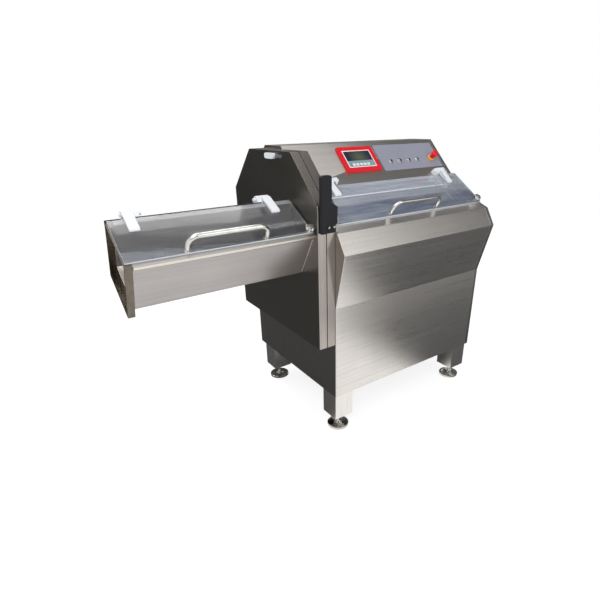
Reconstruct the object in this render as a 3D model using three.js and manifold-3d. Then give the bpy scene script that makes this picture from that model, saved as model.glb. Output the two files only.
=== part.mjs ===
// Automatic slicer for frozen meat, in millimetres, with Z up.
// X runs along the feed, from the discharge chute on the left to the loading end on the right, and
// Y runs from the operator's side to the back. Places are measured from the cabinet's front left
// corner on the floor, and the last group moves the origin to the middle of the footprint.
import * as THREE from 'three';
import { mergeVertices } from 'three/addons/utils/BufferGeometryUtils.js';
import Module from 'manifold-3d';

const wasm = await Module();
wasm.setup();

// Fits shared by all pieces
const seatGap = 0.3;
const cutOverrun = 6;
const sheet = 2.5;
const roundSides = 32;
const turnedSides = 28;
const smallSides = 16;
const bezelSides = 24;
const hexSides = 6;
const cornerSegments = 6;

// Cabinet and its frame
const cabinetLength = 912;
const frameDepth = 683;
const bodyDepth = 727;
const coverLength = 20;
const skirtHeight = 202;
const legClearance = 74.5;
const legWidth = 100;
const legSheet = 4;
const frontLegTop = 790;
const rearLegTop = 1040;
const railWidth = 30;
const railHeight = 40;
const lowerRailHeight = 206;
const middleRailHeight = 600;
const footPlateSheet = 6;
const returnFlange = 25;

// Folded front of the cabinet
const kneeHeight = 643;
const noseReach = 59.5;
const noseHeight = 885.5;
const lipReach = 10.6;
const lipHeight = 965;

// Control hood over the back of the cabinet
const hoodFootDepth = 238;
const hoodFootHeight = 1108;
const hoodFaceRun = 162;
const hoodRearEdge = 540;
const hoodHeight = 1270;
const hoodFaceLength = Math.hypot(hoodFaceRun, hoodHeight - hoodFootHeight);

// Levelling feet
const footRadius = 52;
const footSole = 13;
const footShoulder = 18;
const footNeckTop = 27;
const footNeckRadius = 16;
const stemRadius = 8;
const lockNutRadius = 15;
const lockNutHeight = 14;
const stemTop = 112;

// Head: fixed shell with the swinging guard door in front of it
const headDepth = 720;
const headBottom = 475;
const headTop = 1258;
const headChamfer = 184;
const shellLength = 40.7;

// Feed line: chute, feed opening and trough share one tilt
const feedTilt = THREE.MathUtils.degToRad(29.9);
const feedFrontDepth = 17.5;
const feedFrontHeight = 970.4;
const chuteWidth = 209;
const chuteDrop = 205;
const chuteReach = 776;
const chuteFlange = 22;
const chuteHem = 8;
const chuteHemDrop = 17;
const collarLength = 24.6;
const collarDrop = 243;
const collarTopBar = 10;
const collarStep = 3;

// Feed trough in the cabinet
const troughFront = 42;
const troughRear = 200;
const troughDrop = 180;
const troughRearTop = 16;
const troughFrontTop = 2;
const troughHem = 30;
const troughHemSheet = 2;
const troughEnd = 846;
const feedOpeningTop = 6;

// Lids of clear plastic
const lidThickness = 6;
const lidFrontDepth = 34;
const lidFrontHeight = 989;
const lidSlope = THREE.MathUtils.degToRad(33.8);
const lidWidth = 220;
const lidLeft = 20;
const lidSeatWidth = 14;
const lidSeatFold = 12;
const lidRearSeat = 18;
const hoodLedge = 2;
const chuteLidFront = 8;
const chuteLidRear = 207;
const chuteLidInset = 5;
const chuteLidRight = 90;

// Lid hinges
const hingeArmWidth = 34;
const hingeArmThickness = 10;
const chuteArmReach = 85;
const mainArmReach = 72;
const chuteArmWrap = THREE.MathUtils.degToRad(45);
const mainArmWrap = THREE.MathUtils.degToRad(150);
const hingeKnuckle = 14;
const hingePinRadius = 5;
const hingePinHead = 6.5;
const hingePinHeadLength = 4;
const hingePinEnd = 10;
const hingeLugWidth = 20;
const hingeSideGap = 1;
const hingeLugRise = 24;
const chuteHingePlace = 240;
const chuteHingeDrop = 3;
const chuteHingeLugDrop = 36;
const chuteHingeInset = 58;
const chuteHingeRight = 166;
const mainHingePlace = 238;
const mainHingeRise = 9;
const mainHingeLeft = 116;
const mainHingeRight = 850;

// Bow handles on the lids
const chuteHandleRod = 9;
const mainHandleRod = 7.5;
const handleBend = 36;
const handleRodSides = 10;
const handleSteps = 26;
const chuteHandleLeft = 575;
const chuteHandleRight = 285;
const chuteHandleRise = 58;
const chuteHandlePlace = 18;
const mainHandleLeft = 329;
const mainHandleRight = 614;
const mainHandleRise = 58;
const mainHandlePlace = 14;

// Clamp knobs on the lids
const knobRadius = 18;
const knobWaist = 14.5;
const knobLobes = 6;
const knobHeight = 14;
const knobNeckRadius = 9;
const knobNeckHeight = 9;
const knobStemRadius = 4;
const chuteKnobSide = 105;
const chuteKnobPlace = 16;
const mainKnobSide = 906;
const mainKnobPlace = 16;

// Door hinge at the back edge of the head
const doorPinRadius = 3;
const doorPinGap = 0.3;
const doorKnuckle = 5.2;
const doorHingeDepth = 726;
const doorHingeBottom = 542;
const doorHingeTop = 1060;
const doorKnuckleCount = 5;
const doorLeafSheet = 2;
const doorLeafWidth = 30;

// Latch on the front edge of the head
const latchWidth = 46;
const latchOverlap = 11;
const latchBottom = 974;
const latchTop = 1186;
const latchReach = 20;
const latchNotchWidth = 25;
const latchNotchTop = 1004;
const latchBack = 4;
const latchWall = 3;
const latchCorner = 10;
const latchPinRadius = 2.2;
const latchPinInset = 6;
const latchPinReach = 8;
const latchBaseSheet = 3;
const latchBaseInset = 8;
const keeperBottom = 970;
const keeperTop = 1088;
const keeperFall = 17;
const keeperReach = 14;
const keeperSheet = 3;
const keeperRight = 1;
const bracketLeft = 3.3;
const bracketWidth = 12;
const bracketTop = 1028;
const bracketDepth = 20;

// Sensor block on the face of the guard door
const sensorFront = 297;
const sensorBack = 372;
const sensorBottom = 1227;
const sensorTop = 1249;
const sensorReach = 12;
const sensorTail = 50;
const sensorTailReach = 4;
const sensorCorner = 10;

// Cutting blade and its spindle
const spindleDepth = 360;
const spindleHeight = 866.5;
const bladeThickness = 5;
const bladeRunningGap = 1.2;
const bladeTipRadius = 340;
const bladeHeelRadius = 92;
const bladeSweep = THREE.MathUtils.degToRad(235);
const bladeRise = THREE.MathUtils.degToRad(28);
const bladeStart = THREE.MathUtils.degToRad(-118);
const bladeSteps = 40;
const bladeHeelSteps = 10;
const bladeHeelPower = 3;
const bladeBevel = 16;
const bladeEdge = 0.8;
const bladeBore = 20;
const clampRadius = 58;
const clampHeight = 13;
const clampTaper = 8;
const shoulderRadius = 58;
const shoulderLength = 8;
const shaftRadius = 24.6;
const shellHoleRadius = 62;
const bearingFlangeRadius = 80;
const bearingFlangeLength = 14;
const bearingBodyRadius = 62;
const bearingLength = 190;
const bearingRelief = 14;

// Belt drive and main motor
const pulleyStandoff = 12;
const pulleyLength = 36;
const pulleyFlange = 4;
const pulleyFlangeRise = 5;
const bladePulleyRadius = 66;
const motorPulleyRadius = 44;
const beltThickness = 5;
const beltSideGap = 1;
const motorAxisHeight = 352;
const motorShaftRadius = 14;
const motorShaftDepth = 70;
const motorRadius = 78;
const motorLength = 250;
const motorFootHeight = 24;
const motorFootWidth = 170;
const motorBoxSize = 70;
const deckSheet = 6;
const deckMargin = 20;

// Pusher with its guide, screw and motor
const pusherThickness = 12;
const pusherClearance = 3;
const pusherTop = 14;
const clawLength = 14;
const clawRadius = 3;
const clawPitch = 38;
const pusherRest = 780;
const armWidth = 40;
const armHeight = 10;
const carriageLength = 60;
const carriageFront = 213;
const carriageBack = 257;
const carriageDrop = 104;
const guideRodRadius = 10;
const guideUpperDrop = 35;
const guideLowerDrop = 83;
const guidePlace = 235;
const guideGap = 0.5;
const screwDrop = 59;
const screwRadius = 8;
const screwReach = 12;
const guideBracket = 12;
const guideMargin = 20;
const bulkheadSheet = 4;
const bulkheadBack = 284;
const bulkheadDrop = 196;
const bulkheadTop = 6;
const feedMotorSize = 84;
const feedMotorLength = 68;
const feedMotorCorner = 10;

// Display, control plate and buttons on the face of the hood
const displayLeft = 272;
const displayRight = 479;
const displayBottom = 56;
const displayTopMargin = 32;
const displayTop = hoodFaceLength - displayTopMargin;
const displayThickness = 9;
const displayBorder = 27;
const displayRim = 3;
const displayCorner = 6;
const screenSink = 2;
const screenShare = 0.6;
const plateLeft = 500;
const plateRight = 900;
const plateBottom = 50;
const plateTopMargin = 24;
const plateTop = hoodFaceLength - plateTopMargin;
const plateThickness = 2;
const buttonFirst = 563;
const buttonPitch = 60.5;
const buttonCount = 4;
const buttonPlace = 103;
const buttonRadius = 8;
const buttonStemRadius = 5;
const buttonTravel = 2;
const buttonRise = 3;
const buttonBevel = 0.8;
const bezelRadius = 12;
const bezelRise = 3;
const stopPlace = 104;
const stopSide = 845;
const stopRadius = 19;
const stopRise = 44;
const stopHead = 14;
const stopEdge = 6;
const stopShoulderRadius = 16;
const stopShoulderDrop = 3;
const stopCrownRadius = 8;
const stopStemRadius = 12;
const stopCollarRadius = 19;
const stopCollarHeight = 9;
const stopCollarTop = 15;
const stopSink = 16;

// Cable gland under the rear flange
const glandSide = 850;
const glandRadius = 10;
const glandNeck = 7.5;
const glandBore = 4.5;
const glandDrop = 22;
const glandNut = 6;
const glandShoulder = 13;

// Worked out from the sizes above
const shellFace = -seatGap;
const shellRim = -(seatGap + shellLength);
const doorRim = shellRim - seatGap;
const doorFace = doorRim - shellLength;
const doorInner = doorFace + sheet;
const panelInset = sheet + seatGap;
const bodyEnd = cabinetLength + coverLength;
const lidRest = lidThickness + seatGap;
const bladeFace = shellFace - sheet - bladeRunningGap;
const bladeBack = bladeFace - bladeThickness;
const doorAxisSide = (shellRim + doorRim) / 2;
const bearingEnd = panelInset + bearingLength;
const pulleyStart = bearingEnd + pulleyStandoff;
const deckHeight = lowerRailHeight + railWidth;
const motorStart = pulleyStart + pulleyLength + deckMargin;
const hoodFaceSlope = Math.atan2(hoodHeight - hoodFootHeight, hoodFaceRun);
const chuteLidLeft = chuteReach - chuteLidInset;
const chuteHingeLeft = chuteReach - chuteHingeInset;

// Materials
function finish(color, roughness, metalness) {
  return new THREE.MeshStandardMaterial({ color, roughness, metalness });
}
const brushedSteel = finish(0x96918c, 0.35, 1);
const paleSteel = finish(0xaaa5a0, 0.35, 1);
const polishedSteel = finish(0xd8d6d2, 0.15, 1);
const bladeSteel = finish(0xc4c6c8, 0.2, 1);
const whitePlastic = finish(0xf4f7fa, 0.45, 0);
const blackPlastic = finish(0x28282c, 0.5, 0);
const greyPlate = finish(0x9698a5, 0.5, 0);
const redPlastic = finish(0xe6232d, 0.4, 0);
const yellowPlastic = finish(0xe8a020, 0.45, 0);
const screenGlass = finish(0x2d3c46, 0.15, 0);
const keypadFilm = finish(0x6ea5a5, 0.5, 0);
const castIron = finish(0x54575a, 0.6, 0.6);
const motorPaint = finish(0x3b4a5a, 0.55, 0.2);
const beltRubber = finish(0x1c1c1c, 0.85, 0);
const clearPlastic = finish(0xc3ccd8, 0.1, 0);
clearPlastic.transparent = true;
clearPlastic.opacity = 0.35;

// Solids from closed surfaces, joined and cut
function solidOf(geometry) {
  const bare = geometry.clone();
  bare.deleteAttribute('normal');
  bare.deleteAttribute('uv');
  const merged = mergeVertices(bare);
  return new wasm.Manifold(new wasm.Mesh({
    numProp: 3,
    vertProperties: new Float32Array(merged.attributes.position.array),
    triVerts: new Uint32Array(merged.index.array),
  }));
}

function geometryOf(solid) {
  const mesh = solid.getMesh();
  const geometry = new THREE.BufferGeometry();
  geometry.setAttribute('position', new THREE.BufferAttribute(mesh.vertProperties, 3));
  geometry.setIndex(new THREE.BufferAttribute(mesh.triVerts, 1));
  geometry.computeVertexNormals();
  return geometry;
}

function join(...geometries) {
  return geometryOf(geometries.map(solidOf).reduce((whole, solid) => whole.add(solid)));
}

function cut(geometry, ...tools) {
  return geometryOf(tools.map(solidOf).reduce((whole, tool) => whole.subtract(tool), solidOf(geometry)));
}

// Plain shapes, each between two stated places
function block(x0, x1, y0, y1, z0, z1) {
  const box = new THREE.BoxGeometry(x1 - x0, y1 - y0, z1 - z0);
  return box.translate((x0 + x1) / 2, (y0 + y1) / 2, (z0 + z1) / 2);
}

function extrude(shape, length) {
  return new THREE.ExtrudeGeometry(shape,
    { depth: length, bevelEnabled: false, curveSegments: cornerSegments });
}

function alongX(shape, x0, x1) {
  const turned = new THREE.Matrix4().makeBasis(
    new THREE.Vector3(0, 1, 0), new THREE.Vector3(0, 0, 1), new THREE.Vector3(1, 0, 0));
  return extrude(shape, x1 - x0).applyMatrix4(turned).translate(x0, 0, 0);
}

function alongY(shape, y0, y1) {
  return extrude(shape, y1 - y0).rotateX(Math.PI / 2).translate(0, y1, 0);
}

function alongZ(shape, z0, z1) {
  return extrude(shape, z1 - z0).translate(0, 0, z0);
}

function rodX(radius, x0, x1, y, z, sides = smallSides) {
  const rod = new THREE.CylinderGeometry(radius, radius, x1 - x0, sides);
  return rod.rotateZ(Math.PI / 2).translate((x0 + x1) / 2, y, z);
}

function rodZ(radius, z0, z1, x, y, sides = smallSides) {
  const rod = new THREE.CylinderGeometry(radius, radius, z1 - z0, sides);
  return rod.rotateX(Math.PI / 2).translate(x, y, (z0 + z1) / 2);
}

// A revolve of [radius, reach] pairs about X, and one about Z
function turnedX(pairs, y, z, sides = turnedSides) {
  const profile = pairs.map(([radius, reach]) => new THREE.Vector2(radius, reach));
  return new THREE.LatheGeometry(profile, sides).rotateZ(-Math.PI / 2).translate(0, y, z);
}

function turnedZ(pairs, x, y, sides = roundSides) {
  const profile = pairs.map(([radius, reach]) => new THREE.Vector2(radius, reach));
  return new THREE.LatheGeometry(profile, sides).rotateX(Math.PI / 2).translate(x, y, 0);
}

function corner(across, up) {
  return new THREE.Vector2(across, up);
}

function rectangle(x0, x1, y0, y1) {
  return new THREE.Shape([corner(x0, y0), corner(x1, y0), corner(x1, y1), corner(x0, y1)]);
}

function roundedRectangle(x0, x1, y0, y1, radius) {
  const shape = new THREE.Shape();
  shape.moveTo(x0 + radius, y0);
  shape.lineTo(x1 - radius, y0);
  shape.absarc(x1 - radius, y0 + radius, radius, -Math.PI / 2, 0, false);
  shape.lineTo(x1, y1 - radius);
  shape.absarc(x1 - radius, y1 - radius, radius, 0, Math.PI / 2, false);
  shape.lineTo(x0 + radius, y1);
  shape.absarc(x0 + radius, y1 - radius, radius, Math.PI / 2, Math.PI, false);
  shape.lineTo(x0, y0 + radius);
  shape.absarc(x0 + radius, y0 + radius, radius, Math.PI, Math.PI * 1.5, false);
  return shape;
}

// Every corner of a line moves to its right, so that each edge shifts by the same distance
function shifted(points, distance, closed) {
  const count = points.length;
  return points.map((spot, index) => {
    const before = spot.clone().sub(points[(index + count - 1) % count]).normalize();
    const after = points[(index + 1) % count].clone().sub(spot).normalize();
    const first = closed || index > 0 ? before : after;
    const second = closed || index < count - 1 ? after : before;
    const firstNormal = corner(first.y, -first.x);
    const secondNormal = corner(second.y, -second.x);
    const share = distance / (1 + firstNormal.dot(secondNormal));
    return spot.clone().addScaledVector(firstNormal.add(secondNormal), share);
  });
}

function foldedSheet(points, thickness) {
  return new THREE.Shape([...points, ...shifted(points, thickness, false).reverse()]);
}

// A tray of folded sheet: a web with a rim all round, open on the other side
function tray(outline, webX0, webX1, rimX0, rimX1) {
  const hollow = new THREE.Shape(shifted(outline, sheet, true));
  const whole = alongX(new THREE.Shape(outline), Math.min(webX0, rimX0), Math.max(webX1, rimX1));
  const opensRight = rimX1 > webX1;
  const from = opensRight ? webX1 : rimX0 - cutOverrun;
  const to = opensRight ? rimX1 + cutOverrun : webX0;
  return cut(whole, alongX(hollow, from, to));
}

// Places across the feed line and across the main lid, as depth and height
function onFeed(along, above) {
  const turned = corner(along, above).rotateAround(corner(0, 0), feedTilt);
  return turned.add(corner(feedFrontDepth, feedFrontHeight));
}

function onLid(along, above) {
  const turned = corner(along, above).rotateAround(corner(0, 0), lidSlope);
  return turned.add(corner(lidFrontDepth, lidFrontHeight));
}

function feedRectangle(front, rear, bottom, top) {
  return new THREE.Shape([
    onFeed(front, bottom), onFeed(rear, bottom), onFeed(rear, top), onFeed(front, top)]);
}

const hoodFoot = corner(hoodFootDepth, hoodFootHeight);
const hoodFaceTop = corner(hoodFootDepth + hoodFaceRun, hoodHeight);
const hoodRear = corner(hoodRearEdge, hoodHeight);
const rearShoulder = corner(bodyDepth, hoodHeight - (bodyDepth - hoodRearEdge));
const nose = corner(-noseReach, noseHeight);
const lip = corner(-lipReach, lipHeight);
const knee = corner(0, kneeHeight);
const ledgeEdge = onLid(0, -lidRest);
const ledgeBack = onLid(lidWidth + hoodLedge, -lidRest);

const bodyOutline = [
  corner(0, skirtHeight), knee, nose, lip, ledgeEdge, ledgeBack, hoodFoot, hoodFaceTop, hoodRear,
  rearShoulder, corner(bodyDepth, skirtHeight)];

const headOutline = [
  corner(0, headBottom), corner(0, headTop - headChamfer), corner(headChamfer, headTop),
  corner(headDepth - headChamfer, headTop), corner(headDepth, headTop - headChamfer),
  corner(headDepth, headBottom)];

// Groups: the machine, the tilted feed line, the main lid's slope and the hood's face
const machine = new THREE.Group();
const feedLine = new THREE.Group();
feedLine.position.set(0, feedFrontDepth, feedFrontHeight);
feedLine.rotation.x = feedTilt;
const lidPlane = new THREE.Group();
lidPlane.position.set(0, lidFrontDepth, lidFrontHeight);
lidPlane.rotation.x = lidSlope;
const hoodFace = new THREE.Group();
hoodFace.position.set(0, hoodFootDepth, hoodFootHeight);
hoodFace.rotation.x = hoodFaceSlope;
machine.add(feedLine, lidPlane, hoodFace);

function place(group, name, geometry, material) {
  const mesh = new THREE.Mesh(geometry, material);
  mesh.name = name;
  group.add(mesh);
}

// Each leg's name, the middle of its section and its top
function legPlaces() {
  const half = legWidth / 2;
  const left = panelInset + half;
  const right = cabinetLength - seatGap - half;
  const front = panelInset + half;
  const rear = frameDepth - half;
  return [['front_left', left, front, frontLegTop], ['front_right', right, front, frontLegTop],
    ['rear_left', left, rear, rearLegTop], ['rear_right', right, rear, rearLegTop]];
}

// Welded frame: four box legs with a foot plate each, two rings of rails and the motor deck
function baseFrame() {
  const front = panelInset + legSheet / 2;
  const rear = frameDepth - legSheet / 2;
  const left = panelInset + legSheet / 2;
  const right = cabinetLength - seatGap - legSheet / 2;
  const pieces = [];
  const cuts = [];
  for (const [, x, y, top] of legPlaces()) {
    const half = legWidth / 2;
    const bore = half - legSheet;
    pieces.push(block(x - half, x + half, y - half, y + half, legClearance, top));
    cuts.push(block(x - bore, x + bore, y - bore, y + bore, legClearance + footPlateSheet,
      top + cutOverrun));
    cuts.push(rodZ(stemRadius + guideGap, legClearance - cutOverrun,
      legClearance + footPlateSheet + cutOverrun, x, y));
  }
  for (const [low, high] of [[lowerRailHeight, deckHeight],
    [middleRailHeight, middleRailHeight + railHeight]]) {
    pieces.push(block(left, right, front, front + railWidth, low, high));
    pieces.push(block(left, right, rear - railWidth, rear, low, high));
    pieces.push(block(left, left + railWidth, front, rear, low, high));
    pieces.push(block(right - railWidth, right, front, rear, low, high));
  }
  const deckLeft = motorStart - deckMargin;
  const deckRight = motorStart + motorLength + deckMargin;
  pieces.push(block(deckLeft, deckRight, front, rear, deckHeight - seatGap, deckHeight + deckSheet));
  return cut(join(...pieces), ...cuts);
}

// Levelling foot: wide sole, neck, threaded stem and lock nut under the leg's plate
function levellingFoot(x, y) {
  const nutTop = legClearance - seatGap;
  const foot = turnedZ([[0, 0], [footRadius, 0], [footRadius, footSole], [footNeckRadius, footShoulder],
    [footNeckRadius, footNeckTop], [stemRadius, footNeckTop], [stemRadius, stemTop], [0, stemTop]],
  x, y, bezelSides);
  return join(foot, rodZ(lockNutRadius, nutTop - lockNutHeight, nutTop, x, y, hexSides));
}

// Front sheet, folded from the skirt up over the nose to the lip and the lid's front seat
function frontPanel() {
  const line = [corner(returnFlange, skirtHeight), corner(0, skirtHeight), knee, nose, lip, ledgeEdge,
    onLid(lidSeatWidth, -lidRest), onLid(lidSeatWidth, -lidRest - lidSeatFold)];
  const panel = alongX(foldedSheet(line, sheet), panelInset, cabinetLength - seatGap);
  const notches = [[-cutOverrun, panelInset + legWidth + seatGap],
    [cabinetLength - legWidth - seatGap * 2, cabinetLength + cutOverrun]].map(([x0, x1]) => block(x0, x1,
    sheet, returnFlange + cutOverrun, skirtHeight - cutOverrun, skirtHeight + cutOverrun));
  return cut(panel, ...notches);
}

function leftEndPanel() {
  const panel = alongX(new THREE.Shape(bodyOutline), 0, sheet);
  const opening = alongX(feedRectangle(troughFront, troughRear, -troughDrop, -feedOpeningTop),
    -cutOverrun, cutOverrun);
  const hole = rodX(shellHoleRadius, -cutOverrun, cutOverrun, spindleDepth, spindleHeight, roundSides);
  return cut(panel, opening, hole);
}

function rightEndCover() {
  return tray(bodyOutline, bodyEnd - sheet, bodyEnd, cabinetLength, bodyEnd);
}

function backCover() {
  const line = [corner(bodyDepth, rearShoulder.y - panelInset), corner(bodyDepth, skirtHeight),
    corner(bodyDepth - returnFlange, skirtHeight)];
  const cover = alongX(foldedSheet(line, sheet), panelInset, cabinetLength - seatGap);
  const glandDepth = bodyDepth - returnFlange / 2;
  const hole = rodZ(glandNeck + seatGap, skirtHeight - cutOverrun, skirtHeight + cutOverrun, glandSide,
    glandDepth);
  return cut(cover, hole);
}

// Hood sheet, from the lid's rear seat over the sloped face and the top to the rear shoulder
function controlHood() {
  const line = [onLid(lidWidth - lidRearSeat, -lidRest), ledgeBack, hoodFoot, hoodFaceTop, hoodRear,
    rearShoulder];
  const hood = alongX(foldedSheet(line, sheet), panelInset, cabinetLength - seatGap);
  const tilt = new THREE.Matrix4().makeRotationX(hoodFaceSlope);
  tilt.setPosition(0, hoodFootDepth, hoodFootHeight);
  const holes = buttonSides().map((x) => rodZ(buttonStemRadius + buttonTravel, -cutOverrun, cutOverrun,
    x, buttonPlace));
  holes.push(rodZ(stopStemRadius + buttonTravel, -cutOverrun, cutOverrun, stopSide, stopPlace));
  return cut(hood, ...holes.map((hole) => hole.applyMatrix4(tilt)));
}

function fixedShell() {
  const shell = tray(headOutline, shellFace - sheet, shellFace, shellRim, shellFace);
  const opening = alongX(feedRectangle(troughFront, troughRear, -troughDrop, -feedOpeningTop),
    shellFace - sheet - cutOverrun, cutOverrun);
  const hole = rodX(shellHoleRadius, shellFace - sheet - cutOverrun, cutOverrun, spindleDepth,
    spindleHeight, roundSides);
  return cut(shell, opening, hole);
}

function guardDoor() {
  const door = tray(headOutline, doorFace, doorInner, doorFace, doorRim);
  const opening = alongX(feedRectangle(sheet, chuteWidth - sheet, sheet - chuteDrop, -sheet),
    doorFace - cutOverrun, doorInner + cutOverrun);
  return cut(door, opening);
}

// Door hinge: two leaves with knuckles in turn on one pin
function knuckleSpan(index) {
  const step = (doorHingeTop - doorHingeBottom) / doorKnuckleCount;
  const low = doorHingeBottom + index * step;
  return [low + seatGap / 2, low + step - seatGap / 2];
}

function doorHingeLeaf(first, direction) {
  const leafNear = doorAxisSide + direction * (doorKnuckle + seatGap);
  const leafFar = leafNear + direction * doorLeafWidth;
  const leafFace = headDepth + seatGap;
  const leafX = [leafNear, leafFar].sort((a, b) => a - b);
  const tabX = [doorAxisSide, leafFar].sort((a, b) => a - b);
  const pieces = [block(...leafX, leafFace, leafFace + doorLeafSheet, doorHingeBottom, doorHingeTop)];
  for (let index = first; index < doorKnuckleCount; index += 2) {
    const [low, high] = knuckleSpan(index);
    pieces.push(rodZ(doorKnuckle, low, high, doorAxisSide, doorHingeDepth));
    pieces.push(block(...tabX, leafFace + seatGap, leafFace + doorLeafSheet, low, high));
  }
  return join(...pieces);
}

// The pin is fast in the fixed leaf's knuckles, and the moving leaf's knuckles turn on it
function fixedHingeLeaf() {
  const pin = rodZ(doorPinRadius, doorHingeBottom, doorHingeTop, doorAxisSide, doorHingeDepth);
  return join(doorHingeLeaf(0, 1), pin);
}

function movingHingeLeaf() {
  const bore = rodZ(doorPinRadius + doorPinGap, doorHingeBottom - cutOverrun, doorHingeTop + cutOverrun,
    doorAxisSide, doorHingeDepth);
  return cut(doorHingeLeaf(1, -1), bore);
}

// Discharge chute: folded channel with inward flanges and a doubled front hem
function chuteBody() {
  const left = collarLength - chuteReach + seatGap;
  const right = doorFace - seatGap;
  const line = [corner(chuteFlange, 0), corner(0, 0), corner(0, -chuteDrop),
    corner(chuteWidth, -chuteDrop), corner(chuteWidth, 0), corner(chuteWidth - chuteFlange, 0)];
  const channel = alongX(foldedSheet(line.reverse(), sheet), left, right);
  const hem = block(left, right, -chuteHem, sheet / 2, -chuteHemDrop, 0);
  const stemHole = rodZ(knobStemRadius + guideGap, -cutOverrun, cutOverrun, -chuteKnobSide, chuteKnobPlace);
  return cut(join(channel, hem), stemHole);
}

// Collar at the open end, deeper than the chute, with a lip that closes the step below the floor
function chuteCollar() {
  const left = -chuteReach;
  const right = collarLength - chuteReach;
  const outer = alongX(rectangle(-collarStep, chuteWidth, -collarDrop, 0), left, right);
  const inner = alongX(rectangle(sheet, chuteWidth - sheet, sheet - collarDrop, -sheet),
    left - cutOverrun, right + cutOverrun);
  const lipPlate = block(right - sheet, right, sheet / 2, chuteWidth - sheet / 2, sheet / 2 - collarDrop,
    -chuteDrop);
  const topRelief = block(left + collarTopBar, right + cutOverrun, chuteFlange,
    chuteWidth - chuteFlange, -sheet - cutOverrun, cutOverrun);
  return cut(join(cut(outer, inner), lipPlate), topRelief);
}

// A clear lid with the hole that the clamp knob's stem turns in
function clearLid(x0, x1, front, rear, bottom, knobSide, knobPlace) {
  const plate = block(x0, x1, front, rear, bottom, bottom + lidThickness);
  const hole = rodZ(knobStemRadius + guideGap, bottom - cutOverrun, bottom + lidThickness + cutOverrun,
    knobSide, knobPlace);
  return cut(plate, hole);
}

// Hinge arm: lies on the lid, steps over its edge and wraps the pin. It is placed by its outer side,
// and inward is the way along X to the side where its lug stands
function hingeArm(outer, inward, lidTop, pinPlace, pinHeight, reach, wrap) {
  const [left, right] = [outer, outer + inward * hingeArmWidth].sort((a, b) => a - b);
  const arm = new THREE.Shape();
  const under = lidTop + seatGap;
  const top = under + hingeArmThickness;
  const tip = pinPlace - hingeKnuckle - reach;
  arm.moveTo(tip, under);
  arm.lineTo(tip, under + hingeArmThickness / 2);
  arm.lineTo(tip + hingeArmThickness / 2, top);
  arm.lineTo(pinPlace - hingeKnuckle, top);
  arm.lineTo(pinPlace + hingeKnuckle * Math.cos(wrap), pinHeight + hingeKnuckle * Math.sin(wrap));
  arm.absarc(pinPlace, pinHeight, hingeKnuckle, wrap, -Math.PI, true);
  arm.lineTo(pinPlace - hingeKnuckle, under);
  const bore = rodX(hingePinRadius + seatGap, left - cutOverrun, right + cutOverrun, pinPlace, pinHeight);
  return cut(alongX(arm, left, right), bore);
}

// Hinge lug with its pressed pin: the pin runs through the arm to a head on the far side
function hingeLug(outer, inward, profile, pinPlace, pinHeight) {
  const lugNear = outer + inward * (hingeArmWidth + hingeSideGap);
  const lugFar = lugNear + inward * hingeLugWidth;
  const headStart = outer - inward * hingeSideGap;
  const pinStart = headStart - inward * hingePinHeadLength / 2;
  const spans = [[lugNear, lugFar], [pinStart, lugFar], [headStart, headStart - inward * hingePinHeadLength],
    [lugFar, lugFar + inward * hingePinEnd]].map((ends) => ends.sort((a, b) => a - b));
  const [lugSpan, pinSpan, headSpan, endSpan] = spans;
  return join(alongX(profile, ...lugSpan), rodX(hingePinRadius, ...pinSpan, pinPlace, pinHeight),
    rodX(hingePinHead, ...headSpan, pinPlace, pinHeight),
    rodX(hingePinHead, ...endSpan, pinPlace, pinHeight));
}

function chuteLugProfile() {
  const shape = new THREE.Shape();
  const back = chuteHingePlace + hingeKnuckle;
  shape.moveTo(chuteWidth + seatGap, -chuteHingeLugDrop);
  shape.lineTo(back - hingeKnuckle / 2, -chuteHingeLugDrop);
  shape.lineTo(back, -chuteHingeDrop);
  shape.absarc(chuteHingePlace, -chuteHingeDrop, hingeKnuckle, 0, Math.PI / 2, false);
  shape.lineTo(chuteWidth + seatGap, -seatGap);
  return shape;
}

// The main lid's lug stands on the hood's ledge and face, so its foot follows both
function mainLugProfile() {
  const shape = new THREE.Shape();
  const ledgeFront = lidWidth + hoodLedge;
  const foot = hoodFoot.clone().sub(corner(lidFrontDepth, lidFrontHeight));
  foot.rotateAround(corner(0, 0), -lidSlope);
  const faceTurn = hoodFaceSlope - lidSlope;
  const up = corner(Math.cos(faceTurn), Math.sin(faceTurn)).multiplyScalar(hingeLugRise);
  const off = corner(-Math.sin(faceTurn), Math.cos(faceTurn)).multiplyScalar(seatGap * 2);
  shape.moveTo(ledgeFront + seatGap, seatGap - lidRest);
  shape.lineTo(foot.x + off.x - seatGap, foot.y + off.y);
  shape.lineTo(foot.x + off.x + up.x, foot.y + off.y + up.y);
  shape.lineTo(mainHingePlace + hingeKnuckle * Math.SQRT1_2, mainHingeRise + hingeKnuckle * Math.SQRT1_2);
  shape.absarc(mainHingePlace, mainHingeRise, hingeKnuckle, Math.PI / 4, Math.PI, false);
  shape.lineTo(ledgeFront + seatGap, mainHingeRise);
  return shape;
}

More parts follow.
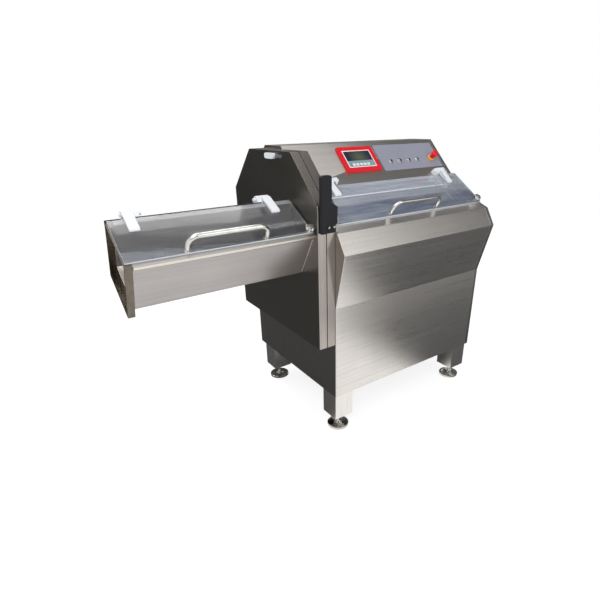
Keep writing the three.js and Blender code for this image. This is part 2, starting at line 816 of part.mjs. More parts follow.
// Bow handle: one bent rod, upright on both feet
function bowHandle(left, right, along, foot, rise, rod) {
  const path = new THREE.CurvePath();
  const top = foot + rise;
  const at = (x, z) => new THREE.Vector3(x, along, z);
  path.add(new THREE.LineCurve3(at(left, foot), at(left, top - handleBend)));
  path.add(new THREE.QuadraticBezierCurve3(at(left, top - handleBend), at(left, top),
    at(left + handleBend, top)));
  path.add(new THREE.LineCurve3(at(left + handleBend, top), at(right - handleBend, top)));
  path.add(new THREE.QuadraticBezierCurve3(at(right - handleBend, top), at(right, top),
    at(right, top - handleBend)));
  path.add(new THREE.LineCurve3(at(right, top - handleBend), at(right, foot)));
  const section = new THREE.Shape();
  section.absarc(0, 0, rod, 0, Math.PI * 2, false);
  return new THREE.ExtrudeGeometry(section, { steps: handleSteps, extrudePath: path,
    curveSegments: handleRodSides / 2 });
}

// Star knob with a neck and the stem that reaches through the lid
function starKnob(x, along, lidTop, stemBottom) {
  const neckTop = lidTop + seatGap + knobNeckHeight;
  const lobes = new THREE.Shape();
  const turn = Math.PI / knobLobes;
  for (let index = 0; index < knobLobes * 2; index += 1) {
    const reach = index % 2 ? knobWaist : knobRadius;
    const spot = corner(Math.cos(index * turn), Math.sin(index * turn)).multiplyScalar(reach);
    const put = index ? 'lineTo' : 'moveTo';
    lobes[put](x + spot.x, along + spot.y);
  }
  return join(alongZ(lobes, neckTop, neckTop + knobHeight),
    rodZ(knobNeckRadius, lidTop + seatGap, neckTop + knobHeight / 2, x, along),
    rodZ(knobStemRadius, stemBottom, neckTop, x, along));
}

// Latch: a hollow lever that laps over the seam, on a small base on the door, and its keeper
const latchRight = shellRim + latchOverlap;
const latchLeft = latchRight - latchWidth;
const latchAxisSide = latchLeft + latchPinInset;
const latchAxisDepth = -latchPinReach;
const latchHollowTop = latchTop - latchCorner * 2;

function latchLever() {
  const outer = new THREE.Shape();
  outer.moveTo(latchLeft, latchBottom);
  outer.lineTo(latchRight - latchNotchWidth, latchBottom);
  outer.lineTo(latchRight - latchNotchWidth, latchNotchTop);
  outer.lineTo(latchRight, latchNotchTop);
  outer.lineTo(latchRight, latchTop - latchCorner);
  outer.absarc(latchRight - latchCorner, latchTop - latchCorner, latchCorner, 0, Math.PI / 2, false);
  outer.absarc(latchLeft + latchCorner, latchTop - latchCorner, latchCorner, Math.PI / 2, Math.PI, false);
  const shell = alongY(outer, -latchReach, -latchBack);
  const hollow = block(latchLeft + latchWall, latchRight + cutOverrun, latchWall - latchReach,
    cutOverrun, latchBottom + latchWall, latchHollowTop);
  const pinHole = rodZ(latchPinRadius + seatGap, latchBottom - cutOverrun,
    latchHollowTop + latchWall + seatGap, latchAxisSide, latchAxisDepth);
  return cut(shell, hollow, pinHole);
}

function latchBase() {
  const low = latchBottom + latchWall + seatGap;
  const high = latchHollowTop - seatGap;
  const plateLeft = latchAxisSide + latchBaseInset;
  const plate = block(plateLeft, shellRim - seatGap * 2, -latchBaseSheet, -seatGap, low, high);
  const web = block(plateLeft, plateLeft + latchBaseSheet, latchAxisDepth - latchPinRadius, -seatGap,
    low, high);
  const ear = block(latchAxisSide, plateLeft + latchBaseSheet, latchAxisDepth - latchPinRadius,
    latchAxisDepth + latchPinRadius, low, high);
  const hub = rodZ(latchPinInset - latchWall - seatGap, low, high, latchAxisSide, latchAxisDepth);
  const pin = rodZ(latchPinRadius, latchBottom, latchHollowTop + latchWall, latchAxisSide, latchAxisDepth);
  return join(plate, web, ear, hub, pin);
}

// Keeper: a foot with room for two screws, and a raised block beside the lever's lap
function latchKeeper() {
  const left = latchRight + seatGap;
  const raised = new THREE.Shape([corner(left, latchNotchTop), corner(keeperRight, latchNotchTop),
    corner(keeperRight, keeperTop - keeperFall), corner(left, keeperTop)]);
  const foot = block(shellRim + seatGap, keeperRight, -keeperSheet, -seatGap, keeperBottom,
    keeperTop - keeperFall);
  return join(alongY(raised, -keeperReach, -seatGap), foot);
}

// Angle bracket that stands on the ledge beside the keeper
function keeperBracket() {
  const left = bracketLeft;
  const slope = (ledgeEdge.y - lip.y) / (ledgeEdge.x - lip.x);
  const ledgeAt = (depth) => lip.y + (depth - lip.x) * slope + seatGap;
  const side = new THREE.Shape([corner(0, ledgeAt(0)), corner(0, bracketTop),
    corner(bracketDepth, bracketTop), corner(bracketDepth, ledgeAt(bracketDepth))]);
  const face = block(left, left + bracketWidth, 0, sheet, ledgeAt(sheet), bracketTop);
  return join(alongX(side, left, left + sheet), face);
}

function doorSensor() {
  const face = doorFace - seatGap;
  const head = roundedRectangle(sensorFront, sensorBack, sensorBottom, sensorTop, sensorCorner);
  const tailMid = (sensorBottom + sensorTop) / 2;
  const tailHalf = (sensorTop - sensorBottom) / 4;
  const tail = block(face - sensorTailReach, face, sensorFront - sensorTail, sensorFront + sensorCorner,
    tailMid - tailHalf, tailMid + tailHalf);
  return join(alongX(head, face - sensorReach, face), tail);
}

// Sickle blade: a disc whose edge winds outwards, ground to a bevel on its outer side
function bladeOutline(inset) {
  const shape = new THREE.Shape();
  const spots = [];
  const growth = Math.log(bladeTipRadius / bladeHeelRadius) / (bladeSweep - bladeRise * 2);
  for (let step = 0; step <= bladeSteps; step += 1) {
    const turn = bladeSweep * step / bladeSteps;
    const wound = Math.min(turn, bladeSweep - bladeRise * 2);
    const radius = bladeHeelRadius * Math.exp(growth * wound) - inset;
    spots.push(corner(radius, 0).rotateAround(corner(0, 0), bladeStart + turn));
  }
  const heelTurn = Math.PI * 2 - bladeSweep;
  for (let step = 1; step < bladeHeelSteps; step += 1) {
    const share = step / bladeHeelSteps;
    const ease = (1 - share) ** bladeHeelPower;
    const radius = bladeHeelRadius + (bladeTipRadius - bladeHeelRadius) * ease - inset;
    spots.push(corner(radius, 0).rotateAround(corner(0, 0), bladeStart + bladeSweep + heelTurn * share));
  }
  shape.setFromPoints(spots);
  return shape;
}

function sickleBlade() {
  const outline = bladeOutline(0);
  const rim = outline.getPoints();
  const ground = bladeOutline(bladeBevel).getPoints();
  const rings = [[rim, bladeFace], [rim, bladeFace - bladeEdge], [ground, bladeBack]];
  const positions = rings.flatMap(([ring, x]) => ring.flatMap((spot) => [x, spot.x, spot.y]));
  const count = rim.length;
  const faces = [];
  for (const layer of [0, 1]) {
    for (let index = 0; index < count; index += 1) {
      const next = (index + 1) % count;
      const near = layer * count;
      const far = near + count;
      faces.push(near + index, far + index, far + next, near + index, far + next, near + next);
    }
  }
  for (const [a, b, c] of THREE.ShapeUtils.triangulateShape(rim, [])) {
    faces.push(a, b, c);
  }
  for (const [a, b, c] of THREE.ShapeUtils.triangulateShape(ground, [])) {
    faces.push(2 * count + a, 2 * count + c, 2 * count + b);
  }
  const body = new THREE.BufferGeometry();
  body.setAttribute('position', new THREE.Float32BufferAttribute(positions, 3));
  body.setIndex(faces);
  body.translate(0, spindleDepth, spindleHeight);
  const bore = rodX(bladeBore + seatGap, bladeBack - cutOverrun, bladeFace + cutOverrun, spindleDepth,
    spindleHeight, roundSides);
  return cut(body, bore);
}

function bladeClamp() {
  const seat = bladeBack - seatGap;
  const outer = seat - clampHeight;
  const inner = bladeBore + seatGap;
  return turnedX([[inner, seat], [clampRadius, seat], [clampRadius, seat - clampHeight / 2],
    [clampRadius - clampTaper, outer], [inner, outer], [inner, seat]].reverse(), spindleDepth, spindleHeight);
}

function bladeSpindle() {
  const tip = bladeBack - seatGap - clampHeight;
  const shoulder = bladeFace + seatGap;
  const end = pulleyStart + pulleyLength + seatGap;
  return turnedX([[0, tip], [bladeBore, tip], [bladeBore, shoulder], [shoulderRadius, shoulder],
    [shoulderRadius, shoulder + shoulderLength - bladeRunningGap], [shaftRadius, shoulder + shoulderLength],
    [shaftRadius, end], [0, end]], spindleDepth, spindleHeight);
}

function bearingHousing() {
  const start = sheet + seatGap;
  const bore = shaftRadius + seatGap;
  const flangeEnd = start + bearingFlangeLength;
  const shoulderClear = bladeFace + seatGap + shoulderLength + bladeRunningGap;
  return turnedX([[shellHoleRadius, start], [bearingFlangeRadius, start], [bearingFlangeRadius, flangeEnd],
    [bearingBodyRadius, flangeEnd], [bearingBodyRadius, bearingEnd], [bore, bearingEnd],
    [bore, shoulderClear + bearingRelief], [shellHoleRadius, shoulderClear + bearingRelief / 2],
    [shellHoleRadius, start]], spindleDepth, spindleHeight);
}

// Grooved pulley with two flanges
function pulley(radius, bore, height) {
  const start = pulleyStart;
  const end = pulleyStart + pulleyLength;
  const rimRadius = radius + pulleyFlangeRise;
  return turnedX([[bore, start], [rimRadius, start], [rimRadius, start + pulleyFlange],
    [radius, start + pulleyFlange], [radius, end - pulleyFlange], [rimRadius, end - pulleyFlange],
    [rimRadius, end], [bore, end], [bore, start]], spindleDepth, height);
}

// Belt round both pulleys: straight runs touch the two circles at the same angle
function beltLoop(grow) {
  const span = spindleHeight - motorAxisHeight;
  const lean = Math.asin((bladePulleyRadius - motorPulleyRadius) / span);
  const loop = new THREE.Path();
  loop.absarc(spindleDepth, spindleHeight, bladePulleyRadius + grow, -lean, Math.PI + lean, false);
  loop.absarc(spindleDepth, motorAxisHeight, motorPulleyRadius + grow, Math.PI + lean, Math.PI * 2 - lean,
    false);
  return loop;
}

function driveBelt() {
  const shape = new THREE.Shape(beltLoop(seatGap + beltThickness).getPoints(roundSides / 2));
  shape.holes.push(new THREE.Path(beltLoop(seatGap).getPoints(roundSides / 2)));
  const start = pulleyStart + pulleyFlange + beltSideGap;
  return alongX(shape, start, pulleyStart + pulleyLength - pulleyFlange - beltSideGap);
}

function mainMotor() {
  const end = motorStart + motorLength;
  const footTop = deckHeight + deckSheet + motorFootHeight;
  const body = rodX(motorRadius, motorStart, end, spindleDepth, motorAxisHeight, turnedSides);
  const foot = block(motorStart + deckMargin, end - deckMargin, spindleDepth - motorFootWidth / 2,
    spindleDepth + motorFootWidth / 2, deckHeight + deckSheet + seatGap, footTop);
  const box = block(motorStart + deckMargin, motorStart + deckMargin + motorBoxSize,
    spindleDepth + motorRadius / 2, spindleDepth + motorRadius + motorBoxSize / 2,
    motorAxisHeight - motorBoxSize / 2, motorAxisHeight + motorBoxSize / 2);
  const web = block(motorStart + deckMargin, end - deckMargin, spindleDepth - motorRadius / 2,
    spindleDepth + motorRadius / 2, footTop - seatGap, motorAxisHeight);
  const bore = rodX(motorShaftRadius + seatGap, motorStart - cutOverrun, motorStart + motorShaftDepth,
    spindleDepth, motorAxisHeight);
  return cut(join(body, foot, web, box), bore);
}

function motorPulley() {
  const shaft = rodX(motorShaftRadius, pulleyStart, motorStart + motorShaftDepth - seatGap, spindleDepth,
    motorAxisHeight);
  const wheel = pulley(motorPulleyRadius, motorShaftRadius / 2, motorAxisHeight);
  return join(wheel, shaft);
}

// Trough: folded channel under the lid, with a doubled band along the top of its rear wall
function feedTrough() {
  const end = troughEnd;
  const line = [corner(troughRear, -troughRearTop), corner(troughRear, -troughDrop),
    corner(troughFront, -troughDrop), corner(troughFront, -troughFrontTop)];
  const channel = alongX(foldedSheet(line, -sheet), panelInset, end);
  const band = block(panelInset, end, troughRear - troughHemSheet, troughRear + sheet / 2,
    -troughRearTop - troughHem, -troughRearTop);
  return join(channel, band);
}

// Pusher: a clawed plate that fills the trough, with the arm that reaches over the rear wall
function pusherPlate() {
  const front = troughFront + pusherClearance;
  const rear = troughRear - troughHemSheet - pusherClearance;
  const bottom = pusherClearance - troughDrop;
  const plate = block(pusherRest, pusherRest + pusherThickness, front, rear, bottom, -pusherTop);
  const armBottom = -pusherTop + pusherClearance / 2;
  const arm = block(pusherRest, pusherRest + armWidth, rear - armWidth, carriageBack, armBottom,
    armBottom + armHeight);
  const neck = block(pusherRest, pusherRest + pusherThickness, rear - armWidth, rear, -pusherTop - armHeight,
    armBottom + armHeight / 2);
  const claws = [];
  for (let along = front + clawPitch / 2; along < rear; along += clawPitch) {
    for (let up = bottom + clawPitch / 2; up < -pusherTop; up += clawPitch) {
      const claw = new THREE.ConeGeometry(clawRadius, clawLength + pusherThickness / 2, hexSides);
      claws.push(claw.rotateZ(Math.PI / 2).translate(pusherRest - clawLength / 2 + pusherThickness / 4,
        along, up));
    }
  }
  return join(plate, neck, arm, ...claws);
}

function pusherCarriage() {
  const top = -pusherTop + pusherClearance / 2 - seatGap;
  const body = block(pusherRest, pusherRest + carriageLength, carriageFront, carriageBack, -carriageDrop,
    top);
  const bores = [[guideUpperDrop, guideRodRadius], [guideLowerDrop, guideRodRadius],
    [screwDrop, screwRadius]].map(([drop, radius]) => rodX(radius + guideGap, pusherRest - cutOverrun,
    pusherRest + carriageLength + cutOverrun, guidePlace, -drop));
  return cut(body, ...bores);
}

// Guide: left bracket, two rods and the bulkhead that also closes the trough's loading end
function guideFrame() {
  const left = panelInset;
  const bulkhead = troughEnd + seatGap;
  const bracket = block(left, left + guideBracket, guidePlace - guideMargin, guidePlace + guideMargin,
    -guideLowerDrop - guideMargin, guideMargin - guideUpperDrop);
  const plate = block(bulkhead, bulkhead + bulkheadSheet, troughFront - sheet, bulkheadBack,
    -bulkheadDrop, -bulkheadTop);
  const rods = [guideUpperDrop, guideLowerDrop].map((drop) => rodX(guideRodRadius,
    left + guideBracket / 2, bulkhead + bulkheadSheet / 2, guidePlace, -drop));
  const bearing = rodX(screwRadius + guideGap, left + guideBracket / 2, bulkhead + bulkheadSheet + cutOverrun,
    guidePlace, -screwDrop);
  return cut(join(bracket, plate, ...rods), bearing);
}

function leadScrew() {
  return rodX(screwRadius, panelInset + guideBracket / 2 + seatGap,
    troughEnd + seatGap + bulkheadSheet + screwReach, guidePlace, -screwDrop);
}

function feedMotor() {
  const start = troughEnd + bulkheadSheet + seatGap * 2;
  const half = feedMotorSize / 2;
  const body = alongX(roundedRectangle(guidePlace - half, guidePlace + half, -screwDrop - half,
    half - screwDrop, feedMotorCorner), start, start + feedMotorLength);
  const bore = rodX(screwRadius + guideGap, start - cutOverrun, start + screwReach + seatGap,
    guidePlace, -screwDrop);
  return cut(body, bore);
}

// Display: red frame, dark screen above and key film below
function displayFrame() {
  const outer = roundedRectangle(displayLeft, displayRight, displayBottom, displayTop, displayCorner);
  const frame = alongZ(outer, seatGap, seatGap + displayThickness);
  const window = block(displayLeft + displayBorder, displayRight - displayBorder,
    displayBottom + displayBorder, displayTop - displayBorder, seatGap + displayRim,
    seatGap + displayThickness + cutOverrun);
  return cut(frame, window);
}

function displayInsert(lowShare, highShare) {
  const bottom = displayBottom + displayBorder + seatGap;
  const height = displayTop - displayBottom - displayBorder * 2 - seatGap * 2;
  const low = seatGap * 2 + displayRim;
  return block(displayLeft + displayBorder + seatGap, displayRight - displayBorder - seatGap,
    bottom + height * lowShare, bottom + height * highShare - seatGap, low,
    seatGap + displayThickness - screenSink);
}

function buttonSides() {
  return Array.from({ length: buttonCount }, (_, index) => buttonFirst + index * buttonPitch);
}

// Control plate with a raised ring round each push button
function controlPlate() {
  const low = seatGap;
  const high = low + plateThickness;
  const plate = block(plateLeft, plateRight, plateBottom, plateTop, low, high);
  const rings = buttonSides().map((x) => rodZ(bezelRadius, low, high + bezelRise, x, buttonPlace,
    bezelSides));
  const holes = buttonSides().map((x) => rodZ(buttonRadius + seatGap, -cutOverrun,
    high + bezelRise + cutOverrun, x, buttonPlace, bezelSides));
  const stopHole = rodZ(stopStemRadius + buttonTravel, -cutOverrun, high + cutOverrun, stopSide, stopPlace);
  return cut(join(plate, ...rings), ...holes, stopHole);
}

function pushButton(x) {
  const top = seatGap + plateThickness + bezelRise + buttonRise;
  const shoulder = seatGap + buttonTravel + buttonRise / 2;
  return turnedZ([[0, -sheet - buttonRise], [buttonStemRadius, -sheet - buttonRise],
    [buttonStemRadius, shoulder], [buttonRadius, shoulder], [buttonRadius, top - buttonBevel],
    [buttonRadius - buttonBevel, top], [0, top]], x, buttonPlace, smallSides);
}

function stopCollar() {
  const low = seatGap * 2 + plateThickness;
  const bore = stopStemRadius + seatGap;
  return turnedZ([[bore, low], [stopCollarRadius, low], [stopCollarRadius, low + stopCollarHeight / 2],
    [stopCollarTop, low + stopCollarHeight], [bore, low + stopCollarHeight], [bore, low]],
  stopSide, stopPlace, bezelSides);
}

function stopButton() {
  const top = seatGap * 2 + plateThickness + stopRise;
  const under = top - stopHead;
  return turnedZ([[0, -stopSink], [stopStemRadius, -stopSink], [stopStemRadius, under],
    [stopRadius, under], [stopRadius, under + stopEdge], [stopShoulderRadius, top - stopShoulderDrop],
    [stopCrownRadius, top], [0, top]], stopSide, stopPlace, bezelSides);
}

function cableGland() {
  const flangeTop = skirtHeight + sheet + seatGap;
  const flangeBottom = skirtHeight - seatGap;
  return turnedZ([[glandBore, skirtHeight - glandDrop], [glandNeck, skirtHeight - glandDrop],
    [glandRadius, skirtHeight - glandShoulder], [glandRadius, flangeBottom], [glandNeck, flangeBottom],
    [glandNeck, flangeTop], [glandRadius, flangeTop], [glandRadius, flangeTop + glandNut],
    [glandBore, flangeTop + glandNut], [glandBore, skirtHeight - glandDrop]], glandSide,
  bodyDepth - returnFlange / 2, smallSides);
}

// The scene: cabinet
place(machine, 'base_frame', baseFrame(), brushedSteel);
for (const [name, x, y] of legPlaces()) {
  place(machine, `foot_${name}`, levellingFoot(x, y), polishedSteel);
}
place(machine, 'front_panel', frontPanel(), brushedSteel);
place(machine, 'left_end_panel', leftEndPanel(), brushedSteel);
place(machine, 'right_end_cover', rightEndCover(), brushedSteel);
place(machine, 'back_cover', backCover(), brushedSteel);
place(machine, 'control_hood', controlHood(), brushedSteel);
place(machine, 'cable_gland', cableGland(), blackPlastic);

// Head and guard door
place(machine, 'fixed_shell', fixedShell(), brushedSteel);
place(machine, 'guard_door', guardDoor(), brushedSteel);
place(machine, 'door_hinge_fixed_leaf', fixedHingeLeaf(), paleSteel);
place(machine, 'door_hinge_moving_leaf', movingHingeLeaf(), paleSteel);
place(machine, 'latch_base', latchBase(), blackPlastic);
place(machine, 'latch_lever', latchLever(), blackPlastic);
place(machine, 'latch_keeper', latchKeeper(), blackPlastic);
place(machine, 'keeper_bracket', keeperBracket(), polishedSteel);
place(machine, 'door_sensor', doorSensor(), whitePlastic);

// Chute, its collar and its lid
const chuteLidTop = seatGap + lidThickness;
place(feedLine, 'chute_body', chuteBody(), paleSteel);
place(feedLine, 'chute_collar', chuteCollar(), paleSteel);
place(feedLine, 'chute_lid', clearLid(-chuteLidLeft, -chuteLidRight, chuteLidFront, chuteLidRear, seatGap,
  -chuteKnobSide, chuteKnobPlace), clearPlastic);
for (const [name, outer, inward] of [['left', -chuteHingeLeft, 1], ['right', -chuteHingeRight, -1]]) {
  place(feedLine, `chute_hinge_arm_${name}`, hingeArm(outer, inward, chuteLidTop, chuteHingePlace,
    -chuteHingeDrop, chuteArmReach, chuteArmWrap), whitePlastic);
  place(feedLine, `chute_hinge_lug_${name}`,
    hingeLug(outer, inward, chuteLugProfile(), chuteHingePlace, -chuteHingeDrop), whitePlastic);
}
place(feedLine, 'chute_handle', bowHandle(-chuteHandleLeft, -chuteHandleRight, chuteHandlePlace,
  chuteLidTop + seatGap, chuteHandleRise, chuteHandleRod), polishedSteel);
place(feedLine, 'chute_knob', starKnob(-chuteKnobSide, chuteKnobPlace, chuteLidTop, -sheet),
  polishedSteel);

// Main lid
place(lidPlane, 'main_lid', clearLid(lidLeft, bodyEnd, 0, lidWidth, -lidThickness, mainKnobSide,
  mainKnobPlace), clearPlastic);
for (const [name, outer, inward] of [['left', mainHingeLeft, 1], ['right', mainHingeRight, -1]]) {
  place(lidPlane, `lid_hinge_arm_${name}`, hingeArm(outer, inward, 0, mainHingePlace, mainHingeRise,
    mainArmReach, mainArmWrap), whitePlastic);
  place(lidPlane, `lid_hinge_lug_${name}`,
    hingeLug(outer, inward, mainLugProfile(), mainHingePlace, mainHingeRise), whitePlastic);
}
place(lidPlane, 'lid_handle', bowHandle(mainHandleLeft, mainHandleRight, mainHandlePlace, seatGap,
  mainHandleRise, mainHandleRod), polishedSteel);
place(lidPlane, 'lid_knob', starKnob(mainKnobSide, mainKnobPlace, 0, -lidThickness), polishedSteel);

// Controls
place(hoodFace, 'display_frame', displayFrame(), redPlastic);
place(hoodFace, 'display_keys', displayInsert(0, 1 - screenShare), keypadFilm);
place(hoodFace, 'display_screen', displayInsert(1 - screenShare, 1), screenGlass);
place(hoodFace, 'control_plate', controlPlate(), greyPlate);
buttonSides().forEach((x, index) => {
  place(hoodFace, `push_button_${index + 1}`, pushButton(x), polishedSteel);
});
place(hoodFace, 'stop_collar', stopCollar(), yellowPlastic);
place(hoodFace, 'stop_button', stopButton(), redPlastic);

// Blade and its drive
place(machine, 'blade', sickleBlade(), bladeSteel);
place(machine, 'blade_clamp', bladeClamp(), polishedSteel);
place(machine, 'blade_spindle', bladeSpindle(), polishedSteel);
place(machine, 'bearing_housing', bearingHousing(), castIron);
place(machine, 'blade_pulley', pulley(bladePulleyRadius, shaftRadius + seatGap, spindleHeight), castIron);
place(machine, 'drive_belt', driveBelt(), beltRubber);
place(machine, 'main_motor', mainMotor(), motorPaint);
place(machine, 'motor_pulley', motorPulley(), castIron);

// Feed
place(feedLine, 'feed_trough', feedTrough(), paleSteel);
place(feedLine, 'pusher_plate', pusherPlate(), paleSteel);
place(feedLine, 'pusher_carriage', pusherCarriage(), castIron);
place(feedLine, 'guide_frame', guideFrame(), polishedSteel);
place(feedLine, 'lead_screw', leadScrew(), polishedSteel);
place(feedLine, 'feed_motor', feedMotor(), motorPaint);

// The origin is on the floor in the middle of the footprint
const footprintLeft = -chuteReach;
const footprintFront = -noseReach;
const footprintBack = doorHingeDepth + doorKnuckle;
machine.position.set(-(footprintLeft + bodyEnd) / 2, -(footprintFront + footprintBack) / 2, 0);

const slicer = new THREE.Group();
slicer.add(machine);

export default slicer;
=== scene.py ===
# %% [markdown]
# # An automatic slicer for frozen meat
# The machine is folded stainless steel with clear lids, white hinge arms and a small control panel.
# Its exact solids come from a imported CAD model. This lesson gives every solid a finish, and adds the
# small things that a CAD model leaves out: screws, seals, key caps, turned knobs and bent rods.

import math

import bmesh
import bpy
from mathutils import Matrix, Vector


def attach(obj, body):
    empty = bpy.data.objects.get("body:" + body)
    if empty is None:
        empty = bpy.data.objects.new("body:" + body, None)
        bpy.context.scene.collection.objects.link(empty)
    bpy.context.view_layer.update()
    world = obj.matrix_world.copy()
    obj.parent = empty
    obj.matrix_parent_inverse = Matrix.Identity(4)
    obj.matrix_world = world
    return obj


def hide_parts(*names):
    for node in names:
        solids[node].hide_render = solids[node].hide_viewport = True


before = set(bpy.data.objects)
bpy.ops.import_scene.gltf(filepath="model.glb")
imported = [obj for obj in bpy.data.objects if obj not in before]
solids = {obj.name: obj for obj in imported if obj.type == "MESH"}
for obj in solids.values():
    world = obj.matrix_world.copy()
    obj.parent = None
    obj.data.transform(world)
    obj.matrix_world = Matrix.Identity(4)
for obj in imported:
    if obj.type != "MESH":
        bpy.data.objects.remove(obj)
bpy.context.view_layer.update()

# %% [markdown]
# The camera is worked out from the photograph: it stands off the left front corner of the machine, at
# chest height, and looks down at it. Three turns aim it: round the room, down, and a slight tilt. The
# lens shift is what the photograph's framing needs.

# %% The camera
CAMERA_PLACE = Vector((-1.0800, -1.70285, 1.3603))
CAMERA_TURN = math.radians(-34.58)
CAMERA_DIP = math.radians(24.36)
CAMERA_ROLL = math.radians(0.77)
SENSOR_WIDTH = 36
FOCAL_LENGTH = 26.28
LENS_SHIFT = (-0.0398, 0.0343)

ahead = Vector((-math.sin(CAMERA_TURN) * math.cos(CAMERA_DIP),
                math.cos(CAMERA_TURN) * math.cos(CAMERA_DIP), -math.sin(CAMERA_DIP)))
level = Vector((math.cos(CAMERA_TURN), math.sin(CAMERA_TURN), 0))
below = ahead.cross(level)
across = level * math.cos(CAMERA_ROLL) + below * math.sin(CAMERA_ROLL)
below = below * math.cos(CAMERA_ROLL) - level * math.sin(CAMERA_ROLL)
turned = Matrix((across, -below, -ahead)).transposed().to_4x4()


def new_object(name, data):
    obj = bpy.data.objects.new(name, data)
    bpy.context.scene.collection.objects.link(obj)
    return obj


lens = bpy.data.cameras.new("photo_camera")
lens.sensor_width = SENSOR_WIDTH
lens.lens = FOCAL_LENGTH
lens.shift_x, lens.shift_y = LENS_SHIFT
camera = new_object("photo_camera", lens)
camera.matrix_world = Matrix.Translation(CAMERA_PLACE) @ turned
bpy.context.scene.camera = camera
bpy.context.scene.view_settings.view_transform = "Standard"
print("camera height", round(camera.location.z, 3))

# %% [markdown]
# Steel has no colour of its own to speak of: it shows the room. So the room matters more than the
# lamps. The room is plain white where the camera sees it, and where metal mirrors it or glass shows
# it. Where it only lights the machine it is dimmer and a little cooler. Four large soft lamps do the
# rest of the lighting.

# %% The room
WHITE = (1, 1, 1, 1)
SOFT_LIGHT = (0.93, 0.96, 1.0, 1)
SOFT_STRENGTH = 0.62
WHITE_FOR = ("Is Camera Ray", "Is Transmission Ray", "Is Glossy Ray")
MIDDLE = (0, 0, 0.7)
LAMPS = {
    "key_lamp": ((-2.2, -2.4, 3.2), 2.0, 62),
    "fill_lamp": ((1.0, -4.0, 2.0), 2.4, 26),
    "top_lamp": ((0.1, 1.9, 3.3), 2.2, 34),
    "back_lamp": ((-1.4, 3.2, 4.2), 2.4, 24),
}


def reckon(tree, operation, first, second):
    """One sum of two values, each a number or an output of a node."""
    node = tree.nodes.new("ShaderNodeMath")
    node.operation = operation
    for socket, value in ((node.inputs[0], first), (node.inputs[1], second)):
        if isinstance(value, (int, float)):
            socket.default_value = value
        else:
            tree.links.new(value, socket)
    return node.outputs[0]


def seen_by(tree, rays):
    """A mask that is 1 for each of the named kinds of ray and 0 for all others."""
    path = tree.nodes.new("ShaderNodeLightPath")
    seen = path.outputs[rays[0]]
    for ray in rays[1:]:
        seen = reckon(tree, "MAXIMUM", seen, path.outputs[ray])
    return seen


def shader_mix(tree, mask, first, second):
    node = tree.nodes.new("ShaderNodeMixShader")
    for socket, source in zip(node.inputs, (mask, first, second)):
        tree.links.new(source, socket)
    return node.outputs[0]


def background(tree, colour, strength):
    node = tree.nodes.new("ShaderNodeBackground")
    node.inputs["Color"].default_value = colour
    node.inputs["Strength"].default_value = strength
    return node.outputs[0]


def lamp(name, place, size, watts):
    data = bpy.data.lights.new(name, "AREA")
    data.shape = "SQUARE"
    data.size = size
    data.energy = watts
    obj = new_object(name, data)
    obj.location = place
    obj.rotation_euler = (Vector(MIDDLE) - Vector(place)).to_track_quat("-Z", "Y").to_euler()


world = bpy.data.worlds.new("studio")
bpy.context.scene.world = world
world.use_nodes = True
room = world.node_tree
room.nodes.clear()
room_out = room.nodes.new("ShaderNodeOutputWorld")
room_mix = shader_mix(room, seen_by(room, WHITE_FOR), background(room, SOFT_LIGHT, SOFT_STRENGTH),
                      background(room, WHITE, 1.0))
room.links.new(room_mix, room_out.inputs[0])
for name, (place, size, watts) in LAMPS.items():
    lamp(name, place, size, watts)
print("lamps:", len(bpy.data.lights))

# %% [markdown]
# A surface is a small network of nodes. These helpers make the network with its one Principled shader,
# and turn colours from 0 to 255, as they are picked from a photograph, into the linear ones that the
# shader wants. They also give each spot of a piece its place, from which all patterns start.

# %% Materials: colours, an empty finish and places
def linear(*picked):
    share = [value / 255 for value in picked]
    return tuple(v / 12.92 if v <= 0.04045 else ((v + 0.055) / 1.055) ** 2.4 for v in share) + (1,)


def darker(picked, share):
    return [round(value * share) for value in picked]


def bare_material(name):
    material = bpy.data.materials.new(name)
    material.use_nodes = True
    tree = material.node_tree
    tree.nodes.clear()
    out = tree.nodes.new("ShaderNodeOutputMaterial")
    shader = tree.nodes.new("ShaderNodeBsdfPrincipled")
    tree.links.new(shader.outputs[0], out.inputs[0])
    return material, tree, shader


def object_place(tree, scale=(1, 1, 1), turn=(0, 0, 0), move=(0, 0, 0)):
    coords = tree.nodes.new("ShaderNodeTexCoord")
    mapping = tree.nodes.new("ShaderNodeMapping")
    mapping.inputs["Scale"].default_value = scale
    mapping.inputs["Rotation"].default_value = turn
    mapping.inputs["Location"].default_value = move
    tree.links.new(coords.outputs["Object"], mapping.inputs["Vector"])
    return mapping.outputs["Vector"]


def along(tree, vector, axis):
    split = tree.nodes.new("ShaderNodeSeparateXYZ")
    tree.links.new(vector, split.inputs[0])
    return split.outputs[axis]


print("helpers for places ready")

# %% [markdown]
# A finish is mostly masks, which are values from 0 to 1 that say how much of a second look a spot has.
# These helpers turn a mask into a roughness or a stronger mask, fade it in between two places, and
# blend two colours by it. Noise makes the masks uneven, as wear is, and a bump gives a fine relief.

# %% Materials: masks and mixes
COLOUR_A, COLOUR_B, COLOUR_RESULT = 6, 7, 2


def spread(tree, value, low, high):
    """Turns a mask from 0 to 1 into a value from low to high."""
    node = tree.nodes.new("ShaderNodeMapRange")
    node.inputs["To Min"].default_value = low
    node.inputs["To Max"].default_value = high
    tree.links.new(value, node.inputs["Value"])
    return node.outputs["Result"]


def ramp(tree, value, start, end, kind="LINEAR"):
    """A mask that goes from 0 to 1 while the value goes from start to end."""
    node = tree.nodes.new("ShaderNodeMapRange")
    node.interpolation_type = kind
    node.inputs["From Min"].default_value = start
    node.inputs["From Max"].default_value = end
    tree.links.new(value, node.inputs["Value"])
    return node.outputs["Result"]


